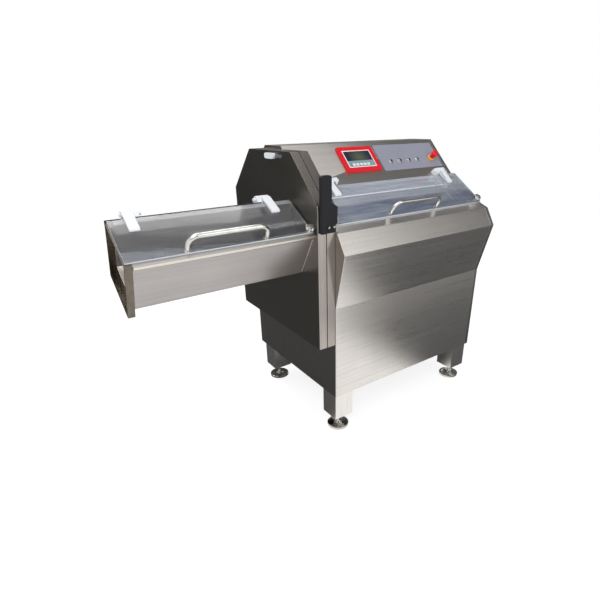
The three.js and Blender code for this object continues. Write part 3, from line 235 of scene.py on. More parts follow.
def weighed(tree, first, share, second):
    """The first value by its share, and the second by the rest."""
    return reckon(tree, "ADD", reckon(tree, "MULTIPLY", first, share),
                  reckon(tree, "MULTIPLY", second, 1 - share))


def contrasted(tree, mask, gain):
    return spread(tree, mask, -gain, 1 + gain)


def blended(tree, mask, first, second):
    node = tree.nodes.new("ShaderNodeMix")
    node.data_type = "RGBA"
    tree.links.new(mask, node.inputs["Factor"])
    for socket, colour in ((node.inputs[COLOUR_A], first), (node.inputs[COLOUR_B], second)):
        if isinstance(colour, tuple):
            socket.default_value = colour
        else:
            tree.links.new(colour, socket)
    return node.outputs[COLOUR_RESULT]


def noise(tree, vector, scale, detail, roughness):
    node = tree.nodes.new("ShaderNodeTexNoise")
    node.inputs["Scale"].default_value = scale
    node.inputs["Detail"].default_value = detail
    node.inputs["Roughness"].default_value = roughness
    tree.links.new(vector, node.inputs["Vector"])
    return node.outputs["Fac"]


def bumped(tree, shader, height, strength, distance):
    node = tree.nodes.new("ShaderNodeBump")
    node.inputs["Strength"].default_value = strength
    node.inputs["Distance"].default_value = distance
    tree.links.new(height, node.inputs["Height"])
    tree.links.new(node.outputs["Normal"], shader.inputs["Normal"])


print("helpers for masks ready")

# %% [markdown]
# Three effects come back in many finishes, so each is a node group, built once. "brushing" is the
# grain that a belt leaves in sheet steel: noise stretched a hundredfold along the belt's way, with
# wide soft bands under the fine lines. "handling" is the cloudy film of wiping and fingers.
# "settled_dust" finds faces that look up.

# %% Materials: the shared effects
FINE_SHARE = 0.45
BAND_CONTRAST = 0.9
CLOUD_CONTRAST = 0.7


def new_group(name, *outputs):
    """An empty effect that takes a place and gives one or more masks."""
    group = bpy.data.node_groups.new(name, "ShaderNodeTree")
    group.interface.new_socket("Place", in_out="INPUT", socket_type="NodeSocketVector")
    for label in outputs:
        group.interface.new_socket(label, in_out="OUTPUT", socket_type="NodeSocketFloat")
    given = group.nodes.new("NodeGroupInput")
    gives = group.nodes.new("NodeGroupOutput")
    return group, given.outputs["Place"], gives.inputs


brushing, spot, gives = new_group("brushing", "Tone", "Lines")
fine_lines = noise(brushing, spot, 9.0, 3.0, 0.65)
wide_bands = noise(brushing, spot, 0.9, 2.0, 0.5)
both = weighed(brushing, fine_lines, FINE_SHARE, wide_bands)
brushing.links.new(contrasted(brushing, both, BAND_CONTRAST), gives["Tone"])
brushing.links.new(fine_lines, gives["Lines"])

handling, spot, gives = new_group("handling", "Film")
clouds = noise(handling, spot, 5.0, 5.0, 0.6)
handling.links.new(contrasted(handling, clouds, CLOUD_CONTRAST), gives["Film"])

settled_dust, spot, gives = new_group("settled_dust", "Dust")
facing = settled_dust.nodes.new("ShaderNodeNewGeometry")
upward = reckon(settled_dust, "MAXIMUM", along(settled_dust, facing.outputs["Normal"], "Z"), 0.0)
specks = noise(settled_dust, spot, 60.0, 4.0, 0.7)
settled_dust.links.new(reckon(settled_dust, "MULTIPLY", upward, specks), gives["Dust"])


def effect(tree, group, vector):
    node = tree.nodes.new("ShaderNodeGroup")
    node.node_tree = group
    tree.links.new(vector, node.inputs["Place"])
    return node.outputs


print("effects:", brushing.name, handling.name, settled_dust.name)

# %% [markdown]
# Brushed stainless changes with the way of its grain, so the one recipe takes the stretch as a value:
# the grain runs along the axis whose scale is small. The lighter and the darker tone are the two ends
# of what the sheet shows. The door has the head's tones on its polished rim. Its big side face is
# painted darker, as painted shade for the dark room that it mirrors, and it is also duller.

# %% Finishes: brushed stainless
ALONG_X = (0.9, 90, 90)
ALONG_Z = (90, 90, 0.9)
GRAIN_SHARE = 0.7
GRAIN_DEPTH = 0.0004
HEAD_TONES = ((184, 176, 169), (164, 156, 149))
DOOR_SIDE_PAINTED_SHADE = (132, 127, 121)
DOOR_SIDE_DULLER = 0.1
LOOKS_SIDEWAYS = 0.9


def brushed_steel(name, light, dark, rough=(0.26, 0.42), grain=ALONG_Z, relief=0.12):
    material, tree, shader = bare_material(name)
    lines = effect(tree, brushing, object_place(tree, grain))
    film = effect(tree, handling, object_place(tree))
    tone = weighed(tree, lines["Tone"], GRAIN_SHARE, film["Film"])
    tree.links.new(blended(tree, tone, linear(*dark), linear(*light)), shader.inputs["Base Color"])
    tree.links.new(spread(tree, tone, rough[1], rough[0]), shader.inputs["Roughness"])
    bumped(tree, shader, lines["Lines"], relief, GRAIN_DEPTH)
    shader.inputs["Metallic"].default_value = 1.0
    return material


def side_painted_shade(material, dark, duller):
    """Paints shade into the colour of the faces that look along X, and raises their roughness."""
    tree = material.node_tree
    shader = next(node for node in tree.nodes if node.type == "BSDF_PRINCIPLED")
    facing = tree.nodes.new("ShaderNodeNewGeometry")
    turned_to_x = reckon(tree, "ABSOLUTE", along(tree, facing.outputs["Normal"], "X"), 0.0)
    side = reckon(tree, "GREATER_THAN", turned_to_x, LOOKS_SIDEWAYS)
    colour, roughness = shader.inputs["Base Color"], shader.inputs["Roughness"]
    colour_before, roughness_before = colour.links[0].from_socket, roughness.links[0].from_socket
    tree.links.new(blended(tree, side, colour_before, linear(*dark)), colour)
    raised = reckon(tree, "MULTIPLY", side, duller)
    tree.links.new(reckon(tree, "ADD", roughness_before, raised), roughness)


sheet_steel = brushed_steel("sheet_steel", (178, 173, 167), (158, 153, 147))
# painted light: the front panel's stainless is lighter than the other sheets, standing in for the bright
# floor it mirrors
front_steel = brushed_steel("front_steel", (232, 227, 221), (210, 205, 199), (0.24, 0.38), ALONG_X, 0.08)
hood_steel = brushed_steel("hood_steel", (198, 193, 187), (178, 173, 167), grain=ALONG_X)
head_steel = brushed_steel("head_steel", *HEAD_TONES, (0.2, 0.3), ALONG_Z, 0.05)
chute_steel = brushed_steel("chute_steel", (188, 183, 180), (172, 167, 164), (0.26, 0.36), ALONG_X, 0.04)
# painted shade: the collar's stainless is a dark olive, standing in for the dark surroundings its front
# face mirrors
collar_steel_painted_shade = brushed_steel("collar_steel_painted_shade", (128, 120, 108), (106, 98, 87), (0.22, 0.32))
# painted highlight: the hem's stainless is lighter and creamier than the chute's, standing in for the
# highlight along its roll
hem_steel_painted_highlight = brushed_steel("hem_steel_painted_highlight", (236, 230, 218), (214, 208, 196), (0.2, 0.3), ALONG_X, 0.04)
# painted light: the base frame's stainless is lighter than the other sheets, standing in for the bright
# floor its legs mirror
frame_steel = brushed_steel("frame_steel", (240, 236, 230), (222, 218, 211), (0.26, 0.38))
door_steel = brushed_steel("door_steel", *HEAD_TONES, (0.2, 0.3), ALONG_Z, 0.04)
# painted shade: the door's side faces get a darker colour that stands in for the dark room they mirror
side_painted_shade(door_steel, DOOR_SIDE_PAINTED_SHADE, DOOR_SIDE_DULLER)
print("materials so far, with the solids' own:", len(bpy.data.materials))

# %% [markdown]
# Rods, knobs and feet are polished: nearly a mirror, dulled by a thin film of handling. The blade is
# ground round its own centre, so its lines are rings: the distance from the spindle's axis drives a
# fine noise. Castings are pitted and hold dust on top, and the motors' paint, which isn't metallic,
# has the same pits.

# %% Finishes: polished steel, blade, cast iron
SPINDLE = (0, 0.02415, 0.8665)
RING_SCALE = 900
RING_DETAIL = 3
RING_ROUGHNESS = (0.16, 0.3)
FILM_SCALE = (6, 6, 6)
FILM_SHADE = 0.86
PIT_SHADE = 0.85
PIT_SPREAD = 0.08
PIT_SCALE = 260.0
PIT_DEPTH = 0.0006
DUST_ON_METAL = (150, 146, 140)
DUST_ON_METAL_SHARE = 0.5


def polished(name, colour, roughness=0.12, film_rough=0.14):
    material, tree, shader = bare_material(name)
    film = effect(tree, handling, object_place(tree, FILM_SCALE))["Film"]
    tree.links.new(blended(tree, film, linear(*colour), linear(*darker(colour, FILM_SHADE))),
                   shader.inputs["Base Color"])
    tree.links.new(spread(tree, film, roughness, roughness + film_rough), shader.inputs["Roughness"])
    shader.inputs["Metallic"].default_value = 1.0
    return material


def ground_steel(name, light, dark):
    material, tree, shader = bare_material(name)
    place = object_place(tree, (0, 1, 1), (0, 0, 0), (0, -SPINDLE[1], -SPINDLE[2]))
    length = tree.nodes.new("ShaderNodeVectorMath")
    length.operation = "LENGTH"
    tree.links.new(place, length.inputs[0])
    rings = tree.nodes.new("ShaderNodeTexNoise")
    rings.noise_dimensions = "1D"
    rings.inputs["Scale"].default_value = RING_SCALE
    rings.inputs["Detail"].default_value = RING_DETAIL
    tree.links.new(length.outputs["Value"], rings.inputs["W"])
    tree.links.new(blended(tree, rings.outputs["Fac"], linear(*dark), linear(*light)),
                   shader.inputs["Base Color"])
    tree.links.new(spread(tree, rings.outputs["Fac"], *RING_ROUGHNESS), shader.inputs["Roughness"])
    shader.inputs["Metallic"].default_value = 1.0
    return material


def rough_cast(name, colour, metal, roughness):
    material, tree, shader = bare_material(name)
    place = object_place(tree)
    pits = noise(tree, place, PIT_SCALE, 3.0, 0.6)
    dust = effect(tree, settled_dust, place)["Dust"]
    base = blended(tree, pits, linear(*darker(colour, PIT_SHADE)), linear(*colour))
    tree.links.new(blended(tree, reckon(tree, "MULTIPLY", dust, DUST_ON_METAL_SHARE), base,
                           linear(*DUST_ON_METAL)), shader.inputs["Base Color"])
    tree.links.new(spread(tree, pits, roughness - PIT_SPREAD, roughness + PIT_SPREAD),
                   shader.inputs["Roughness"])
    bumped(tree, shader, pits, 0.25, PIT_DEPTH)
    shader.inputs["Metallic"].default_value = metal
    return material


polished_steel = polished("polished_steel", (214, 211, 206))
bright_rod = polished("bright_rod", (226, 224, 218), 0.07, 0.09)
blade_steel = ground_steel("ground_blade", (205, 206, 208), (165, 166, 168))
cast_iron = rough_cast("cast_iron", (92, 94, 97), 0.8, 0.5)
motor_paint = rough_cast("motor_paint", (62, 78, 96), 0.0, 0.5)
print("materials so far:", len(bpy.data.materials))

# %% [markdown]
# Moulded plastics are smooth, with a faint orange peel that breaks up their highlight, and they
# gather a little dust on top. Painted frames, printed films and belt rubber follow the same recipe,
# each with its own roughness and shine.

# %% Finishes: plastics and rubber
SKIN_SCALE = 420.0
SKIN_DEPTH = 0.0005
WIPED_SHADE = 0.94
WIPED_GLOSSIER, WIPED_DULLER = 0.05, 0.08
DUST_ON_PLASTIC = (190, 188, 182)


def moulded(name, colour, roughness, peel=0.06, coat=0.0, dust_share=0.12, shine=0.5):
    material, tree, shader = bare_material(name)
    place = object_place(tree)
    skin = noise(tree, place, SKIN_SCALE, 2.0, 0.5)
    film = effect(tree, handling, place)["Film"]
    dust = effect(tree, settled_dust, place)["Dust"]
    base = blended(tree, film, linear(*colour), linear(*darker(colour, WIPED_SHADE)))
    tree.links.new(blended(tree, reckon(tree, "MULTIPLY", dust, dust_share), base,
                           linear(*DUST_ON_PLASTIC)), shader.inputs["Base Color"])
    tree.links.new(spread(tree, film, roughness - WIPED_GLOSSIER, roughness + WIPED_DULLER),
                   shader.inputs["Roughness"])
    bumped(tree, shader, skin, peel, SKIN_DEPTH)
    shader.inputs["Coat Weight"].default_value = coat
    shader.inputs["Specular IOR Level"].default_value = shine
    return material


white_plastic = moulded("white_nylon", (242, 244, 247), 0.42)
black_plastic = moulded("black_nylon", (30, 30, 34), 0.56, 0.16, 0.0, 0.05, 0.25)
red_plastic = moulded("red_gloss", (234, 8, 34), 0.3, 0.04, 0.1, 0.02, 0.4)
yellow_plastic = moulded("yellow_gloss", (238, 160, 30), 0.34, 0.04, 0.2, 0.05)
grey_film = moulded("grey_film", (152, 153, 168), 0.4, 0.05, 0.1, 0.05)
key_film = moulded("key_film", (132, 166, 168), 0.38, 0.04, 0.1, 0.03)
key_cap = moulded("key_cap", (232, 236, 240), 0.4, 0.04, 0.1, 0.03)
gap_film = moulded("gap_film", (110, 118, 130), 0.5, 0.04, 0.0, 0.03)
lead_grey = moulded("lead_grey", (104, 104, 112), 0.5, 0.08)
belt_rubber = moulded("belt_rubber", (34, 34, 35), 0.8, 0.2)
print("materials so far:", len(bpy.data.materials))

# %% [markdown]
# The lids are clear acrylic, a little blue, and dulled by years of wiping: fine hair scratches lie in
# the gloss, deeper in the main lid than in the chute's. The main lid is painted paler between its strip
# and its hinge, as painted light for the lit far wall of the trough, and painted darker along its front,
# as painted shade for the trough's shadowed inside. Each of these zones fades in between two depths and
# has a tone.
# The sawn edges of such a sheet look much brighter than its faces, so they get a finish of their own.
# The screen is dark blue with a faint olive glow painted into its colour round its middle, a painted glow,
# since it gives no light.

# %% Finishes: clear sheet and screen
ACRYLIC_IOR = 1.49
HAIR_STRETCH, HAIR_TURN = (9, 60, 60), (0, 0, math.radians(24))
WIPE_STRETCH, WIPE_TURN = (2.2, 26, 26), (0, 0, math.radians(3))
WIPE_CONTRAST = 0.9
HAIR_DEPTH = 0.0002
PAINTED_ZONE_STREAKS = (2.3, -0.7)
# painted light and painted shade on the main lid: a pale band towards the hinge and a darker front, each
# faded in along Y
LID_PAINTED_LIGHT_AND_SHADE = [(-0.1855, -0.1800, (238, 244, 255)), (-0.2140, -0.2270, (166, 174, 194))]
SCREEN_MIDDLE = (0.302, 0.0, 1.205)
PAINTED_GLOW_FALL = 16.0
SCREEN_BLUE = (30, 40, 56)
SCREEN_PAINTED_GLOW = (92, 98, 78)


def clear_sheet(name, tint, wiped, roughness, scratches, clearness, painted_zones=()):
    material, tree, shader = bare_material(name)
    hair = noise(tree, object_place(tree, HAIR_STRETCH, HAIR_TURN), 14.0, 4.0, 0.7)
    wipes = noise(tree, object_place(tree, WIPE_STRETCH, WIPE_TURN), 2.6, 6.0, 0.7)
    colour = blended(tree, contrasted(tree, wipes, WIPE_CONTRAST), linear(*tint), linear(*wiped))
    for start, end, tone in painted_zones:
        painted_zone = ramp(tree, along(tree, object_place(tree), "Y"), start, end)
        reach = reckon(tree, "MULTIPLY", painted_zone, spread(tree, wipes, *PAINTED_ZONE_STREAKS))
        colour = blended(tree, reach, colour, linear(*tone))
    tree.links.new(colour, shader.inputs["Base Color"])
    film = effect(tree, handling, object_place(tree))["Film"]
    tree.links.new(spread(tree, film, roughness, roughness + 0.1), shader.inputs["Roughness"])
    bumped(tree, shader, hair, scratches, HAIR_DEPTH)
    shader.inputs["Transmission Weight"].default_value = clearness
    shader.inputs["IOR"].default_value = ACRYLIC_IOR
    return material


def screen_with_painted_glow(name):
    material, tree, shader = bare_material(name)
    place = object_place(tree)
    shade = noise(tree, place, 7.0, 2.0, 0.5)
    reach = tree.nodes.new("ShaderNodeVectorMath")
    reach.operation = "DISTANCE"
    tree.links.new(place, reach.inputs[0])
    reach.inputs[1].default_value = SCREEN_MIDDLE
    # painted glow: the olive colour fades out with distance from the screen's middle
    glow = spread(tree, reckon(tree, "MULTIPLY", reach.outputs["Value"], PAINTED_GLOW_FALL), 1.0, 0.0)
    tree.links.new(blended(tree, glow, linear(*SCREEN_BLUE), linear(*SCREEN_PAINTED_GLOW)),
                   shader.inputs["Base Color"])
    tree.links.new(spread(tree, shade, 0.12, 0.2), shader.inputs["Roughness"])
    shader.inputs["Coat Weight"].default_value = 0.5
    return material


clear_acrylic = clear_sheet("clear_acrylic", (230, 233, 238), (248, 249, 251), 0.03, 0.04, 0.96)
dull_acrylic = clear_sheet("dull_acrylic", (206, 213, 230), (248, 250, 254), 0.06, 0.12, 0.74,
                           LID_PAINTED_LIGHT_AND_SHADE)
acrylic_edge = moulded("acrylic_edge", (232, 238, 246), 0.3, 0.05, 0.2, 0.02)
screen_glass = screen_with_painted_glow("screen_glass")
print("materials so far:", len(bpy.data.materials))

# %% [markdown]
# Every solid gets its finish here, by name. Folded sheets and moulded pieces also get a small rounding,
# because no fold in sheet steel and no edge from a mould is sharp: the loose triangles are welded
# first, and then the Bevel modifier rounds what turns by more than 30 degrees.

# %% Dress the solids
MERGE_DISTANCE = 0.00001
FOLD_ANGLE = math.radians(30)
FINISHES = {
    sheet_steel: ["left_end_panel", "right_end_cover", "back_cover", "keeper_bracket"],
    front_steel: ["front_panel"],
    hood_steel: ["control_hood"],
    head_steel: ["fixed_shell"],
    door_steel: ["guard_door"],
    chute_steel: ["chute_body", "feed_trough", "pusher_plate", "door_hinge_fixed_leaf",
                  "door_hinge_moving_leaf"],
    collar_steel_painted_shade: ["chute_collar"],
    frame_steel: ["base_frame"],
    polished_steel: ["foot_front_left", "foot_front_right", "foot_rear_left", "foot_rear_right",
                     "chute_handle", "chute_knob", "lid_handle", "lid_knob", "push_button_1",
                     "push_button_2", "push_button_3", "push_button_4", "blade_clamp",
                     "blade_spindle", "guide_frame", "lead_screw"],
    blade_steel: ["blade"],
    cast_iron: ["bearing_housing", "blade_pulley", "motor_pulley", "pusher_carriage"],
    motor_paint: ["main_motor", "feed_motor"],
    white_plastic: ["chute_hinge_arm_left", "chute_hinge_arm_right", "chute_hinge_lug_left",
                    "chute_hinge_lug_right", "lid_hinge_arm_left", "lid_hinge_arm_right",
                    "lid_hinge_lug_left", "lid_hinge_lug_right", "door_sensor"],
    black_plastic: ["latch_base", "latch_lever", "latch_keeper", "cable_gland"],
    red_plastic: ["display_frame", "stop_button"],
    yellow_plastic: ["stop_collar"],
    grey_film: ["control_plate"],
    key_film: ["display_keys"],
    screen_glass: ["display_screen"],
    belt_rubber: ["drive_belt"],
    clear_acrylic: ["chute_lid"],
    dull_acrylic: ["main_lid"],
}
ROUNDED = {
    "front_panel": 0.0022, "control_hood": 0.0022, "right_end_cover": 0.0018, "fixed_shell": 0.0018,
    "guard_door": 0.0032, "chute_body": 0.0009, "chute_collar": 0.0009, "keeper_bracket": 0.0008,
    "latch_lever": 0.0022, "latch_keeper": 0.0015, "display_frame": 0.0015, "door_sensor": 0.0025,
    "chute_hinge_arm_left": 0.0016, "chute_hinge_arm_right": 0.0016, "lid_hinge_arm_left": 0.0016,
    "lid_hinge_arm_right": 0.0016, "control_plate": 0.0005,
}


def round_folds(obj, width):
    weld = obj.modifiers.new("weld", "WELD")
    weld.merge_threshold = MERGE_DISTANCE
    bevel = obj.modifiers.new("fold", "BEVEL")
    bevel.width = width
    bevel.segments = 2
    bevel.limit_method = "ANGLE"
    bevel.angle_limit = FOLD_ANGLE
    bevel.use_clamp_overlap = True


for material, names in FINISHES.items():
    for name in names:
        solids[name].material_slots[0].material = material
for name, width in ROUNDED.items():
    round_folds(solids[name], width)
print("dressed:", sum(len(names) for names in FINISHES.values()), "rounded:", len(ROUNDED))

# %% [markdown]
# New pieces are made lying flat and then set in place by one matrix. The machine has three slopes:
# the chute and its lid, the main lid, and the face of the hood. On each, x runs along the machine,
# y up the slope and z out of it, and x is counted from the cabinet's left edge. Most new pieces are
# soft-edged blocks or shapes turned on a lathe, so both have a recipe here.

# %% Places on the slopes, blocks and turned shapes
CABINET_LEFT = -0.078
CABINET_FRONT = -0.33585


def slope(depth, height, degrees):
    lean = Matrix.Rotation(math.radians(degrees), 4, "X")
    return Matrix.Translation((CABINET_LEFT, depth, height)) @ lean


CHUTE = slope(-0.31835, 0.9704, 29.9)
LID = slope(-0.30185, 0.989, 33.8)
HOOD = slope(-0.09785, 1.108, 45.0)
UPRIGHT = Matrix.Translation((CABINET_LEFT, CABINET_FRONT, 0))


def settle(name, mesh_work, material, body, where, smooth=35):
    """Puts a finished bmesh in place, gives it a finish, and lets it ride on its body."""
    bmesh.ops.transform(mesh_work, matrix=where, verts=mesh_work.verts)
    mesh = bpy.data.meshes.new(name)
    mesh_work.to_mesh(mesh)
    mesh_work.free()
    for each in material if isinstance(material, list) else [material]:
        mesh.materials.append(each)
    for polygon in mesh.polygons:
        polygon.use_smooth = True
    mesh.set_sharp_from_angle(angle=math.radians(smooth))
    obj = new_object(name, mesh)
    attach(obj, body)
    return obj


def round_edges(work, edges, offset, segments):
    bmesh.ops.bevel(work, geom=edges, offset=offset, segments=segments, profile=0.5, affect="EDGES",
                    material=-1)


def soft_box(low, high, soft, segments=2):
    """A block between two corners, with its edges rounded."""
    box = bmesh.new()
    bmesh.ops.create_cube(box, size=1)
    bmesh.ops.scale(box, vec=[b - a for a, b in zip(low, high)], verts=box.verts)
    bmesh.ops.translate(box, vec=[(a + b) / 2 for a, b in zip(low, high)], verts=box.verts)
    round_edges(box, box.edges[:], soft, segments)
    return box


def turned_piece(work, profile, centre, sides):
    """Spins a profile of (radius, height) pairs about an upright axis."""
    verts = [work.verts.new((centre[0] + radius, centre[1], height)) for radius, height in profile]
    edges = [work.edges.new(pair) for pair in zip(verts, verts[1:])]
    bmesh.ops.spin(work, geom=verts + edges, cent=(*centre, 0), axis=(0, 0, 1),
                   angle=math.radians(360), steps=sides, use_merge=True)
    bmesh.ops.remove_doubles(work, verts=work.verts, dist=MERGE_DISTANCE)
    bmesh.ops.recalc_face_normals(work, faces=work.faces)


def add_part(work, part_work):
    """Adds one bmesh to another."""
    part = bpy.data.meshes.new("part")
    part_work.to_mesh(part)
    part_work.free()
    work.from_mesh(part)
    bpy.data.meshes.remove(part)


print("slopes ready")

# %% [markdown]
# The two lids are sheets of clear plastic. Each is one box with softened edges. The faces that look
# sideways take the bright edge finish, and the big faces stay clear.

# %% Clear lids
LOOKS_UP = 0.5


def lid_sheet(name, replaced, low, high, sheet, body, where):
    work = soft_box(low, high, 0.0008)
    for face in work.faces:
        face.material_index = 0 if abs(face.normal.z) > LOOKS_UP else 1
    obj = settle(name, work, [sheet, acrylic_edge], body, where)
    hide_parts(replaced)


lid_sheet("chute_lid_sheet", "chute_lid", (-0.771, 0.008, 0.0003), (-0.090, 0.207, 0.0063),
          clear_acrylic, "chute_cover", CHUTE)
lid_sheet("main_lid_sheet", "main_lid", (0.020, 0, -0.006), (0.932, 0.220, 0), dull_acrylic, "cover",
          LID)
print("lids: 2")

# %% [markdown]
# A bow handle is one rod, bent twice, with a thin washer under each foot. A curve with a round section
# gives the rod, and it becomes a mesh before it is set in place. The clamp knobs are stars of six lobes: a
# circle whose points are drawn in between the lobes, extruded and softened.

# %% Handles and knobs
ROD_BEND = 0.036
ARC_HANDLE = ROD_BEND * 0.55
WASHER_OVERHANG = 0.0009
WASHER_HEIGHT = 0.0012
WASHER_SOFT = 0.0004
KNOB_LOBES = 6
KNOB_RADIUS = 0.018
KNOB_HEIGHT = 0.014
LOBE_DEPTH = 0.115
KNOB_NECK = 0.0093
KNOB_SOFT = 0.0025
NO_RISE = 0.0001


def bent_rod(name, left, right, place, foot, top, rod):
    """The rod of a handle as a mesh: up, over and down again, with two round bends."""
    curve = bpy.data.curves.new(name + "_path", "CURVE")
    curve.dimensions = "3D"
    curve.bevel_depth = rod
    curve.bevel_resolution = 5
    curve.resolution_u = 10
    curve.use_fill_caps = True
    line = curve.splines.new("BEZIER")
    spots = [(left, foot), (left, top - ROD_BEND), (left + ROD_BEND, top), (right - ROD_BEND, top),
             (right, top - ROD_BEND), (right, foot)]
    line.bezier_points.add(len(spots) - 1)
    for point, (x, z) in zip(line.bezier_points, spots):
        point.co = (x, place, z)
        point.handle_left_type = point.handle_right_type = "VECTOR"
    for index, dx, dz, side in ((1, 0, ARC_HANDLE, "right"), (2, -ARC_HANDLE, 0, "left"),
                                (3, ARC_HANDLE, 0, "right"), (4, 0, ARC_HANDLE, "left")):
        point = line.bezier_points[index]
        setattr(point, f"handle_{side}_type", "FREE")
        setattr(point, f"handle_{side}", point.co + Vector((dx, 0, dz)))
    holder = new_object(name + "_path", curve)
    view_layer = bpy.context.evaluated_depsgraph_get()
    rod_mesh = bpy.data.meshes.new_from_object(holder.evaluated_get(view_layer))
    bpy.data.objects.remove(holder)
    bpy.data.curves.remove(curve)
    return rod_mesh


def bow_handle(name, replaced, left, right, place, foot, rise, rod, body, where):
    rod_mesh = bent_rod(name, left, right, place, foot, foot + rise, rod)
    work = bmesh.new()
    work.from_mesh(rod_mesh)
    bpy.data.meshes.remove(rod_mesh)
    bmesh.ops.remove_doubles(work, verts=work.verts, dist=MERGE_DISTANCE)
    rim = rod + WASHER_OVERHANG
    for x in (left, right):
        washer = bmesh.new()
        turned_piece(washer, [(0, foot + WASHER_HEIGHT), (rim - WASHER_SOFT, foot + WASHER_HEIGHT),
                              (rim, foot + WASHER_HEIGHT - WASHER_SOFT), (rim, foot), (0, foot)],
                     (x, place), 32)
        add_part(work, washer)
    bmesh.ops.recalc_face_normals(work, faces=work.faces)
    obj = settle(name, work, bright_rod, body, where)
    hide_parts(replaced)


def star_knob(name, replaced, x, y, lid_top, stem_low, body, where):
    neck = lid_top + KNOB_NECK
    work = bmesh.new()
    bmesh.ops.create_circle(work, segments=72, radius=KNOB_RADIUS)
    for vert in work.verts:
        turn = math.atan2(vert.co.y, vert.co.x)
        vert.co *= 1 - LOBE_DEPTH + LOBE_DEPTH * math.cos(turn * KNOB_LOBES)
    rim = bmesh.ops.extrude_edge_only(work, edges=work.edges[:])
    top = [item for item in rim["geom"] if isinstance(item, bmesh.types.BMVert)]
    bmesh.ops.translate(work, vec=(0, 0, KNOB_HEIGHT), verts=top)
    bmesh.ops.holes_fill(work, edges=work.edges[:])
    bmesh.ops.recalc_face_normals(work, faces=work.faces)
    level_edges = [edge for edge in work.edges
                   if abs(edge.verts[0].co.z - edge.verts[1].co.z) < NO_RISE]
    round_edges(work, level_edges, KNOB_SOFT, 3)
    bmesh.ops.translate(work, vec=(x, y, neck), verts=work.verts)
    core = bmesh.new()
    turned_piece(core, [(0, neck + 0.0146), (0.006, neck + 0.0146), (0.0068, neck + 0.0138),
                        (0.0068, neck + 0.002), (0.009, neck + 0.002), (0.009, lid_top + 0.0018),
                        (0.0095, lid_top + 0.0003), (0.004, lid_top + 0.0003), (0.004, stem_low),
                        (0, stem_low)], (x, y), 32)
    add_part(work, core)
    obj = settle(name, work, polished_steel, body, where)
    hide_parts(replaced)


bow_handle("chute_bow_handle", "chute_handle", left=-0.575, right=-0.285, place=0.018, foot=0.0066,
           rise=0.058, rod=0.009, body="chute_cover", where=CHUTE)
bow_handle("lid_bow_handle", "lid_handle", left=0.329, right=0.614, place=0.014, foot=0.0003,
           rise=0.058, rod=0.0075, body="cover", where=LID)
star_knob("chute_star_knob", "chute_knob", x=-0.105, y=0.016, lid_top=0.0063, stem_low=-0.0025,
          body="chute_cover_knob", where=CHUTE)
star_knob("lid_star_knob", "lid_knob", x=0.906, y=0.016, lid_top=0, stem_low=-0.006,
          body="cover_knob", where=LID)
print("handles: 2, knobs: 2")

# %% [markdown]
# The front wall of the chute ends in a rolled hem, painted lighter and creamier than the wall as a
# painted highlight along its roll, and a little glossier. A dark strip runs along the rear wall, painted
# shade for the shadowed side of its folded rim, in three lengths, because the two hinge lugs stand
# between them. A thin weld, in the hem's painted-highlight finish, closes the chute's end at the collar.
# A thin dark seal lies along the rim of the head, over the joint of door and shell.

# %% Hem, rear shade strip, weld and seal
SEAL_LEFT, SEAL_RIGHT = -0.0424, -0.0399
SEAL_RISE = 0.0005
HEAD_RIM = [(0, 0.476), (0, 1.074), (0.184, 1.258), (0.536, 1.258), (0.720, 1.074), (0.720, 0.476)]


def soft_bar(name, lengths, low, high, soft, material):
    """Bars along the chute, with the (y, z) corners low and high."""
    work = bmesh.new()
    for left, right in lengths:
        add_part(work, soft_box((left, *low), (right, *high), soft, 4))
    settle(name, work, material, "door", CHUTE, 60)


soft_bar("chute_hem_roll", [(-0.7511, -0.0824)], (-0.0085, -0.0174), (0.0004, -0.0002), 0.0038,
         hem_steel_painted_highlight)
# painted shade: a dark strip standing in for the shadowed side of the rear wall's folded rim
soft_bar("chute_rear_shade_strip", [(-0.7760, -0.7240), (-0.6780, -0.2080), (-0.1600, -0.0900)],
         (0.2095, -0.0150), (0.2132, 0.0058), 0.0010, black_plastic)
soft_bar("chute_end_weld", [(-0.0874, -0.0825)], (-0.0010, -0.2040), (0.0006, -0.0180), 0.0006,
         hem_steel_painted_highlight)

work = bmesh.new()
for (depth, height), (next_depth, next_height) in zip(HEAD_RIM, HEAD_RIM[1:]):
    run = Vector((0, next_depth - depth, next_height - height))
    bar = bmesh.new()
    bmesh.ops.create_cube(bar, size=1)
    bmesh.ops.scale(bar, vec=(SEAL_RIGHT - SEAL_LEFT, run.length, SEAL_RISE * 2), verts=bar.verts)
    spin = Matrix.Rotation(math.atan2(run.z, run.y), 4, "X")
    middle = Vector(((SEAL_LEFT + SEAL_RIGHT) / 2, (depth + next_depth) / 2,
                     (height + next_height) / 2))
    bmesh.ops.transform(bar, matrix=Matrix.Translation(middle) @ spin, verts=bar.verts)
    add_part(work, bar)
settle("door_joint_seal", work, black_plastic, "cabinet", UPRIGHT)
print("hem, edging, weld and seal set")

# %% [markdown]
# Screws are everywhere on such a machine. One recipe makes them all: a low turned head with a hex
# socket, set against a face by its outward direction. The head's outline is in shares of its radius
# and height. All the screws that ride on one body, in one neighbourhood, are one piece.

# %% Screws
FRONT, BACK, RIGHT, OUT = (0, -1, 0), (0, 1, 0), (1, 0, 0), (0, 0, 1)
KEEPER_FACE, LEAF_FACE, BACK_FACE, PLATE_FACE, COVER_FACE = -0.0033, 0.7223, 0.7272, 0.0023, 0.932
LEAF_HEIGHTS = (0.594, 0.698, 0.904, 1.008)
SOCKET_SHARE = 0.45
SOCKET_FLOOR = 0.4
HEAD_SHARES = [(0, 0), (1, 0), (1, 0.55), (0.8, 0.95), (0.62, 1), (SOCKET_SHARE, 1)]


